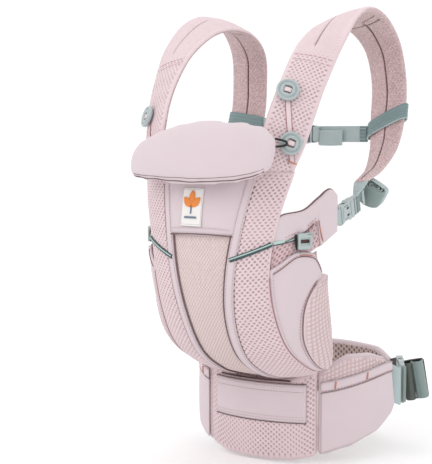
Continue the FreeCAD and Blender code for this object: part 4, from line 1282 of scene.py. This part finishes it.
# ---- side buckles, webbing and rolls ------------------------------------------------------------------
def side_buckles():
    width = unit(np.array([0, -0.24, 0.97]))
    where = basis(SIDE_MOUTH, SIDE_PULL, width)
    out = where[1][2]
    tip, tip_across, tip_out, _ = strap_frame(1.0)
    roll = basis(ROLL_CENTRE, SIDE_PULL, np.cross(ROLL_AXIS, SIDE_PULL))
    for name, side in SIDES.items():
        mirror = np.array([side, 1, 1])
        buckle(f"side_buckle_{name}", 20, 31, 24, where, side, "carrier", f"side_plug_{name}",
               f"side_buckle_female_{name}", f"side_buckle_male_{name}")
        bar_loop(f"wing_tab_{name}_v", -29.5, -40, 19, where, side, MAT["web_light"], "webbing_light",
                 "carrier")
        if side > 0:
            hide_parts("wing_tabs")
        bar_loop(f"side_plug_loop_{name}", 22.0, 27.5, 18.5, where, side, MAT["web_mid"], "webbing_light",
                 f"side_plug_{name}")
        under = -out * WEBBING_DROP
        ends = np.array([SIDE_MOUTH + SIDE_PULL * 4 + under, SIDE_MOUTH + SIDE_PULL * 20 + under,
                         SIDE_MOUTH + SIDE_PULL * 34 + under * 0.9 + (0, 0, 3),
                         tip - tip_out * 1.0 + (0, 3, 0)])
        ways = np.array([width, width, width * 0.8 + tip_across * 0.5, tip_across])
        place_between(ribbon(f"side_webbing_{name}_v", ends * mirror, ways * mirror, 20, MAT["web_light"]),
                      f"side_webbing_{name}")
        turn = np.linspace(0, 2.6 * 2 * math.pi, 110)
        radius = 3.4 + 11.4 * turn / turn[-1]
        spiral = np.stack([radius * np.cos(turn + 2.2), radius * np.sin(turn + 2.2), 0 * turn], -1)
        coil = tube(f"webbing_roll_{name}_v", set_in(spiral, roll, side),
                    np.broadcast_to(roll[1][2] * mirror, spiral.shape),
                    unit(set_in(spiral, roll, side) - ROLL_CENTRE * mirror), 12.2, 1.95, [MAT["web_mid"]],
                    None, 1.5, 0.1, 1.2)
        place(coil, "webbing_dark", f"webbing_roll_{name}")
        keeper = [(9, -11, 13), (9, 0, 13.6), (9, 11, 13), (9, 14.8, 10), (9, 15.4, 0), (9, 14.8, -10),
                  (9, 11, -13), (9, 0, -13.6),
                  (9, -11, -13), (9, -14.8, -10), (9, -15.4, 0), (9, -14.8, 10), (9, -11.2, 13.2)]
        band = ribbon(f"roll_elastic_{name}_v", set_in(keeper, roll, side), roll[1][0] * mirror, 10.0,
                      MAT["web_light"], 1.3)
        place(band, "black_elastic", *(["roll_elastics"] if side > 0 else []))
        tail = np.array([SIDE_MOUTH + SIDE_PULL * 49 - out * 3.2, SIDE_MOUTH + SIDE_PULL * 54 - out * 3.4,
                         ROLL_CENTRE + np.array([-2, -24, 2.0]), ROLL_CENTRE + np.array([-9, -14, -2])])
        ways = np.array([width, width, roll[1][2], roll[1][2]])
        place(ribbon(f"side_tail_{name}", tail * mirror, ways * mirror, 19, MAT["web_light"]),
              "webbing_light")


# ---- chest strap ---------------------------------------------------------------------------------------
def chest_strap():
    centre, across, out, half = strap_frame(CHEST_SHARE)
    up = np.cross(across, out)
    angle = np.linspace(-0.3, 2 * math.pi + 0.1, 90) + math.pi
    wide, deep = half + 2.6, STRAP_THICK / 2 + 1.8
    x = wide * np.sign(np.cos(angle)) * np.abs(np.cos(angle)) ** 0.75
    z = deep * np.sign(np.sin(angle)) * np.abs(np.sin(angle)) ** 0.85
    for name, side in SIDES.items():
        mirror = np.array([side, 1, 1])
        slope = LOOP_SLOPE if side > 0 else LEFT_LOOP_SLOPE
        path = centre + across * x[:, None] + up * (slope * x)[:, None] + out * z[:, None]
        loop = ribbon(f"chest_loop_{name}_v", path * mirror, up * mirror, 21, MAT["web_teal"], 1.8, True, 0.7)
        place(loop, "webbing_light", *(["chest_loops"] if side > 0 else []), body="chest_strap")
        edge = path - up * 9.8
        place(cord(f"chest_loop_edge_{name}", edge[::5] * mirror, 1.15, MAT["web_light"]), "webbing_light",
              body="chest_strap")
    reach = half + 8.0
    end = centre - across * reach - up * (reach * LOOP_SLOPE)
    mouth = np.array([-20, end[1], end[2]])
    pull, width = np.array([1.0, 0, 0]), np.array([0, 0, 1.0])
    where = basis(mouth, pull, width)
    out = where[1][2]
    buckle("chest_buckle", 22, 30, 24, where, 1.0, "chest_strap", "chest_plug", "chest_buckle_female",
           "chest_buckle_male")
    under = -out * WEBBING_DROP
    right = np.array([mouth + pull * 4 + under, mouth + pull * 30 + under, mouth + pull * 60 + under,
                      end - pull * 6 + under * 0.4,
                      end + pull * 5])
    place(ribbon("chest_webbing_right_v", right, width, 22, MAT["web_light"]), "webbing_light",
          "chest_webbing_right",
          body="chest_strap")
    rise = reach * (LOOP_SLOPE - LEFT_LOOP_SLOPE)
    left = np.array([(-end[0] - 5, end[1], end[2] + rise), (-60, end[1], end[2] + rise * 0.3),
                     mouth - pull * 34])
    place(ribbon("chest_webbing_left_v", left, width, 22, MAT["web_light"]), "webbing_light",
          "chest_webbing_left", body="chest_strap")
    bar_loop("chest_socket_loop", -28.5, -38, 20, where, 1.0, MAT["web_light"], "webbing_light",
             "chest_strap")
    bar_loop("chest_plug_loop", 22.0, 28, 20, where, 1.0, MAT["web_light"], "webbing_light", "chest_plug")
    tail = [mouth + pull * 27 - width * 5 + out * 1, mouth + pull * 44 - width * 5.6 + out * 1.2,
            mouth + pull * 60 - width * 5 + out * 0.8, mouth + pull * 61.5 - width * 5 - out * 0.6,
            mouth + pull * 50 - width * 5.3 - out * 1.2]
    place(ribbon("chest_webbing_tail_v", tail, width, 21, MAT["web_light"], 1.3), "webbing_dark",
          "chest_webbing_tail",
          body="chest_plug")
    patch = np.array([end - pull * 7 + out * 0.9, end + out * 1.6, end + pull * 4 + out * 2.0])
    for name, side in SIDES.items():
        mirror = np.array([side, 1, 1])
        place(ribbon(f"chest_join_{name}", patch * mirror, width, 21, MAT["web_teal"], 1.6), "webbing_light",
              body="chest_strap")
        for k in (-1, 1):
            line = np.array([end - pull * 5.5 + width * 7 * k + out * 2.6,
                             end + pull * 3 + width * 7 * k + out * 3.2])
            place(cord(f"chest_tack_{name}_{'ab'[k > 0]}", line * mirror, 0.6, MAT["web_light"], 6),
                  "webbing_light", body="chest_strap")


# ---- waist webbing -------------------------------------------------------------------------------------
def waist_webbing():
    low, high = webbing_edges(BUCKLE_ANGLE)
    P, out = ring(BUCKLE_ANGLE, -2.0, (low + high) / 2)
    P, out = P.reshape(3), out.reshape(3)
    width = np.array([0, 0, -1.0])
    pull = np.cross(width, out)
    where = basis(P, pull, width)
    buckle("waist_buckle", 50, 33, 32, where, 1.0, "carrier", "waist_plug", "waist_buckle_female",
           "waist_buckle_male")
    under = -out * WEBBING_DROP
    low, high = webbing_edges(WING_END_ANGLE)
    start, _ = ring(WING_END_ANGLE - 1.5, -7.0, (low + high) / 2)
    right = np.array([P + pull * 4 + under, P + pull * 22 + under, P + pull * 48 + under * 0.7,
                      start.reshape(3)])
    place_between(ribbon("waist_webbing_right_v", right, width, 50, MAT["web_light"]),
                  "waist_webbing_right")
    angle = np.linspace(WING_END_ANGLE - 1.5, LUMBAR_END_ANGLE + 1.0, 24)
    low, high = webbing_edges(angle)
    arc, _ = ring(angle, -7.0, (low + high) / 2)
    place(ribbon("waist_webbing_left_v", arc * (-1, 1, 1), width, 50, MAT["web_light"]), "webbing_light",
          "waist_webbing_left")
    low, high = webbing_edges(LUMBAR_END_ANGLE)
    pad, _ = ring(LUMBAR_END_ANGLE + 1.5, -7.0, (low + high) / 2)
    tab = np.array([P - pull * 29, P - pull * 34, pad.reshape(3)])
    place(ribbon("lumbar_tab_v", tab, width, 50, MAT["web_dark"]), "webbing_light", "lumbar_tab")
    bar_loop("waist_socket_loop", -31.5, -40, 48, where, 1.0, MAT["web_dark"], "webbing_dark", "carrier")
    bar_loop("waist_plug_loop", 30.0, 36, 48, where, 1.0, MAT["web_mid"], "webbing_dark", "waist_plug")
    # Both folds are the same webbing; the inner fold's dark colour is painted shade.
    folds = (("inner", 4.4, 17.2, 0.13, "web_dark"), ("outer", 17.4, 33.0, 0.18, "web_mid"))
    for name, z0, z1, splay, material in folds:
        radius, middle = (z1 - z0) / 2, (z0 + z1) / 2
        angle = np.linspace(0, 2.0 * 2 * math.pi, 90) - 0.6
        shrink = 1 - 0.22 * np.linspace(1, 0, 90)
        x = 15 + np.sign(np.cos(angle)) * np.abs(np.cos(angle)) ** 0.8 * 11.5 * shrink
        z = middle + np.sin(angle) * radius * shrink
        way = unit(width + out * splay)
        local = basis(P, pull, way)
        coil = tube(f"webbing_bundle_{name}_v", set_in(np.stack([x, 0 * x, z], -1), local),
                    np.broadcast_to(local[1][1], (90, 3)),
                    unit(np.stack([x - 15, 0 * x, z - middle], -1) @ local[1]), 25, 0.8, [MAT[material]],
                    None, 1.6, 0.08, 0.4)
        place(coil, "webbing_dark", *(["webbing_bundle"] if name == "inner" else []), body="waist_plug")
    local = basis(P, pull, width + out * 0.16)
    keeper = [(9.5, -25, 4.9), (9.5, -25.8, 16), (9.5, -25.8, 31.5), (9.5, -24, 33.8), (9.5, 24, 33.8),
              (9.5, 25.8, 31.5), (9.5, 25.8, 12),
              (9.5, 24, 4.7), (9.5, -24, 4.7), (9.5, -25.8, 7)]
    band = ribbon("bundle_elastic_v", set_in(keeper, local), pull, 8, MAT["black"], 1.2, False)
    place(band, "black_elastic", "bundle_elastic", body="waist_plug")


# ---- seams, stitching and the label --------------------------------------------------------------------
def panel_seam(name, across, s0, s1, offset, kind, material, slot="cover_fabric", radius=0.5):
    share = np.linspace(s0, s1, 60)
    for side_name, side in SIDES.items():
        P, n = panel_point(across(share), share, offset)
        P, n = P * (side, 1, 1), n * (side, 1, 1)
        if kind == "stitch":
            obj = stitches(f"{name}_{side_name}", P, n, MAT[material])
        else:
            obj = cord(f"{name}_{side_name}", P[::3], radius, MAT[material])
        place(obj, slot)


def belt_line(name, start, end, z, lift, kind, material, radius=0.5):
    angle = np.linspace(start, end, max(int(abs(end - start) * 1.2), 6))
    P, out = ring(angle, lift, z(np.abs(angle)))
    if kind == "stitch":
        obj = stitches(name, P, out, MAT[material])
    else:
        obj = cord(name, P[::2], radius, MAT[material])
    place(obj, "cover_fabric")


def seams():
    # The dark cords beside each binding are painted shade in the gaps at its edges.
    for mark, aside, depth in (("out", 0.038, 3.2), ("in", -0.036, 2.8)):
        panel_seam(f"binding_gap_{mark}", lambda s: binding(s) + aside, 0.01, 0.97, depth, "cord", "seam_shade",
                   radius=0.8)
    for mark, aside in (("out", 0.024), ("in", -0.020)):
        panel_seam(f"binding_stitch_{mark}", lambda s: binding(s) + aside, 0.02, 0.96, 5.2, "stitch",
                   "thread")
    panel_seam("thigh_seam", lambda s: thigh(s) - 0.004, 0.03, 0.655, 3.9, "cord", "thread_red", radius=0.42)
    panel_seam("thigh_stitch", lambda s: thigh(s) + 0.020, 0.05, 0.64, 4.9, "stitch", "thread")
    panel_seam("leg_seam", leg, 0.04, 0.572, 4.6, "cord", "seam_shade", radius=0.7)
    panel_seam("leg_stitch", lambda s: leg(s) - 0.028, 0.06, 0.56, 5.0, "stitch", "thread_red")
    across = np.linspace(-1, 1, 40)
    reach, sag = binding(np.array(0.775)), 0.006 * across ** 2
    P, _ = panel_point(across * (reach - 0.02), 0.781 - sag, 5.2)
    place(cord("hood_pocket_hem", P[::3], 0.8, MAT["seam_shade"]), "cover_fabric")
    P, n = panel_point(across * (reach - 0.03), 0.800 - sag, 6.2)
    place(stitches("hood_pocket_stitch", P, n, MAT["thread"]), "cover_fabric")
    for name, side in SIDES.items():
        across, hem = along(THIGH_HEM, np.linspace(0, 1, 40)).T
        P, _ = panel_point(across, hem, 4.4)
        place(cord(f"thigh_top_seam_{name}", P[::3] * (side, 1, 1), 0.5, MAT["seam_shade"]), "cover_fabric")
        P, n = panel_point(across, hem + 0.006, 4.9)
        place(stitches(f"thigh_top_stitch_{name}", P * (side, 1, 1), n * (side, 1, 1), MAT["thread_red"]),
              "cover_fabric")
        P, _ = panel_point(*np.transpose(THIGH_BARTACK), 5.0)
        place(cord(f"thigh_bartack_{name}", P * (side, 1, 1), 1.0, MAT["bartack"], 8, 0.6), "cover_fabric")


def belt_seams():
    for name, side in SIDES.items():
        a0, a1 = side * (FRONT_HALF_ANGLE + 1.5), side * (WING_END_ANGLE - 1.5)
        belt_line(f"strip_low_{name}", a0, a1, lambda a: strip_edges(a)[0] + 1.4, 3.2, "stitch", "thread_red")
        belt_line(f"strip_top_{name}", a0, a1, lambda a: strip_edges(a)[1] - 1.4, 3.2, "stitch", "thread")
        belt_line(f"strip_edge_{name}", a0, a1, lambda a: strip_edges(a)[0] - 0.2, 1.9, "cord", "seam_shade", 0.3)
        belt_line(f"wing_top_stitch_{name}", a0, side * (WING_END_ANGLE - 3),
                  lambda a: belt_edges(a)[1] - 3.5, 0.2, "stitch", "thread")
        for k, angle in (("a", 43.5), ("b", 62.5)):
            low, high = strip_edges(np.array([angle]))
            P, out = ring(np.array([angle + 0.6, angle]), 3.4, np.array([high[0] - 2.5, low[0] + 2.5]))
            P = P * (side, 1, 1)
            place(cord(f"strip_bartack_{name}_{k}", np.array([P[0], P.mean(0), P[1]]), 1.1, MAT["bartack"]),
                  "cover_fabric")
        seam = side * FRONT_HALF_ANGLE
        P, out = ring(np.full(8, seam), 0.4, np.linspace(10, 104, 8))
        place(cord(f"belt_front_seam_{name}", P, 0.8, MAT["seam_shade"]), "cover_fabric")
        # The flat black cord is painted shade in the slit at the belt's seam.
        P, out = ring(np.full(5, seam + side * 0.5), 1.6, np.linspace(88, 105, 5))
        place(cord(f"belt_slot_shade_{name}", P, 1.5, MAT["black"], 10, 1.0), "cover_fabric")
        low, high = belt_edges(np.array([WING_END_ANGLE - 1.5]))
        P, out = ring(np.full(12, side * (WING_END_ANGLE - 0.8)), -5.5,
                      np.linspace(low[0] + 4, high[0] - 4, 12))
        place(slanted(cord(f"wing_end_binding_{name}", P, 3.0, MAT["smooth"], 12, 5.5, (0.2 * side, 1, 0))),
              "cover_fabric")
    first, last = PATCH_ANGLES
    for k, z in (("low", PATCH_LOW + 4), ("low_2", PATCH_LOW + 7.5), ("top", PATCH_HIGH - 3.5),
                 ("top_2", PATCH_HIGH - 10)):
        belt_line(f"patch_stitch_{k}", first + 1, last - 1, lambda a: z + 0 * a, 2.5, "stitch", "thread")
    for k, z in (("low", PATCH_LOW - 0.4), ("top", PATCH_HIGH + 0.4)):
        belt_line(f"patch_edge_{k}", first, last, lambda a: z + 0 * a, 1.4, "cord", "seam_shade", 0.5)
    # A dark cord along the belt's top edge: painted shade in the gap under the panel.
    P, _ = ring(np.linspace(-23, 23, 30), 0.9, 105.0)
    place(cord("belt_top_gap", P[::3], 1.2, MAT["gap_shade"]), "cover_fabric")


def label():
    P = panel_surface(*np.broadcast_arrays(np.linspace(-0.150, 0.020, 24)[None],
                                           np.linspace(0.803, 0.927, 40)[:, None]))
    sheet = shell("label_v", P, FRONT, 0.8, [MAT["label"]], lift=6.3)
    place(sheet, "label_white", "label")
    middle, n = panel_point(-0.065, 0.868, 7.3)
    left, right = (panel_point(x, 0.868)[0] for x in (-0.08, -0.05))
    side_way = unit(right - left)
    where = basis(middle, side_way, np.cross(n, side_way))

    def leaf(x, y, turn, long, wide):
        u = np.linspace(0, 2 * math.pi, 28, endpoint=False)
        a, b = long * np.cos(u), wide * np.sin(u) * (1 - 0.55 * np.cos(u) ** 2)
        c, s = math.cos(math.radians(turn)), math.sin(math.radians(turn))
        return prism(list(zip(x + a * c - b * s, y + a * s + b * c)), 0, 0.5)

    shapes = (("leaf_a", leaf(-5.8, 4.0, 135, 8.6, 4.8), "label_orange"),
              ("leaf_b", leaf(5.8, 4.0, 45, 8.6, 4.8), "label_orange"),
              ("leaf_c", leaf(0, 11.0, 90, 7.6, 4.4), "label_orange"),
              ("stem", block(-1.0, 1.0, -10, 1, 0, 0.5, 0.5), "label_grey"),
              ("bar", block(-9, 9, -15.4, -13.0, 0, 0.5, 0.9), "label_grey"))
    for name, solid, material in shapes:
        place(carve(f"label_{name}", [solid], [], where, 1.0, MAT[material], 0.15), "label_white")
    across, share = np.array([-0.142, 0.012]), np.array([0.809, 0.921])
    corners = [(across[0], share[0]), (across[1], share[0]), (across[1], share[1]), (across[0], share[1]),
               (across[0], share[0])]
    for k, (a, b) in enumerate(zip(corners, corners[1:])):
        f = np.linspace(0, 1, 12)
        P, n = panel_point(a[0] + (b[0] - a[0]) * f, a[1] + (b[1] - a[1]) * f, 7.3)
        place(stitches(f"label_stitch_{k}", P, n, MAT["thread"], 3.0, 2.0, 0.28), "label_white")


# ---- camera, light and stage -------------------------------------------------------------------------
CAMERA = np.array([800.0, -1475.6, 418.0])
LENS = 95.5
AZIMUTH = 30.0
YAW = -2.42
PITCH = -4.5


def camera_and_light():
    data = bpy.data.cameras.new("camera")
    data.lens = LENS
    data.sensor_width = 36
    data.clip_end = 20
    camera = linked("camera", data)
    camera.location = CAMERA * MM
    camera.rotation_euler = (math.radians(90 + PITCH), 0, math.radians(AZIMUTH - YAW))
    bpy.context.scene.camera = camera

    def light(name, place_at, size, power):
        lamp = bpy.data.lights.new(name, "AREA")
        lamp.size = size
        lamp.energy = power
        obj = linked(name, lamp)
        obj.location = place_at
        target = np.array([0, -0.08, 0.28])
        direction = target - np.array(place_at)
        obj.rotation_euler = (math.atan2(math.hypot(direction[0], direction[1]), -direction[2]), 0,
                              math.atan2(direction[1], direction[0]) - math.pi / 2)

    light("key", (-0.9, -1.7, 1.7), 1.2, 9)
    light("fill", (1.9, -1.2, 0.9), 1.6, 3)
    light("top", (0.2, 0.3, 2.2), 1.4, 5)
    world = bpy.data.worlds.new("world")
    world.use_nodes = True
    world.node_tree.nodes["Background"].inputs["Color"].default_value = (1, 1, 1, 1)
    world.node_tree.nodes["Background"].inputs["Strength"].default_value = 1.06
    bpy.context.scene.world = world
    bpy.context.scene.view_settings.view_transform = "Standard"

    corners = [(-6000, -6000, -2), (6000, -6000, -2), (6000, 6000, -2), (-6000, 6000, -2)]
    floor = mesh_object("floor", corners, [(0, 1, 2, 3)], [])
    n = Nodes("floor_pale")
    n.finish(n.ramp(n.noise(3, 2), 0.3, 0.7, (0.955, 0.955, 0.955), (0.965, 0.965, 0.965)), 0.9)
    floor.data.materials.append(n.material)


camera_and_light()
front_panel()
waist_belt()
shoulder_straps()
head_support()
strap_buttons()
side_wings()
side_buckles()
chest_strap()
waist_webbing()
seams()
belt_seams()
label()
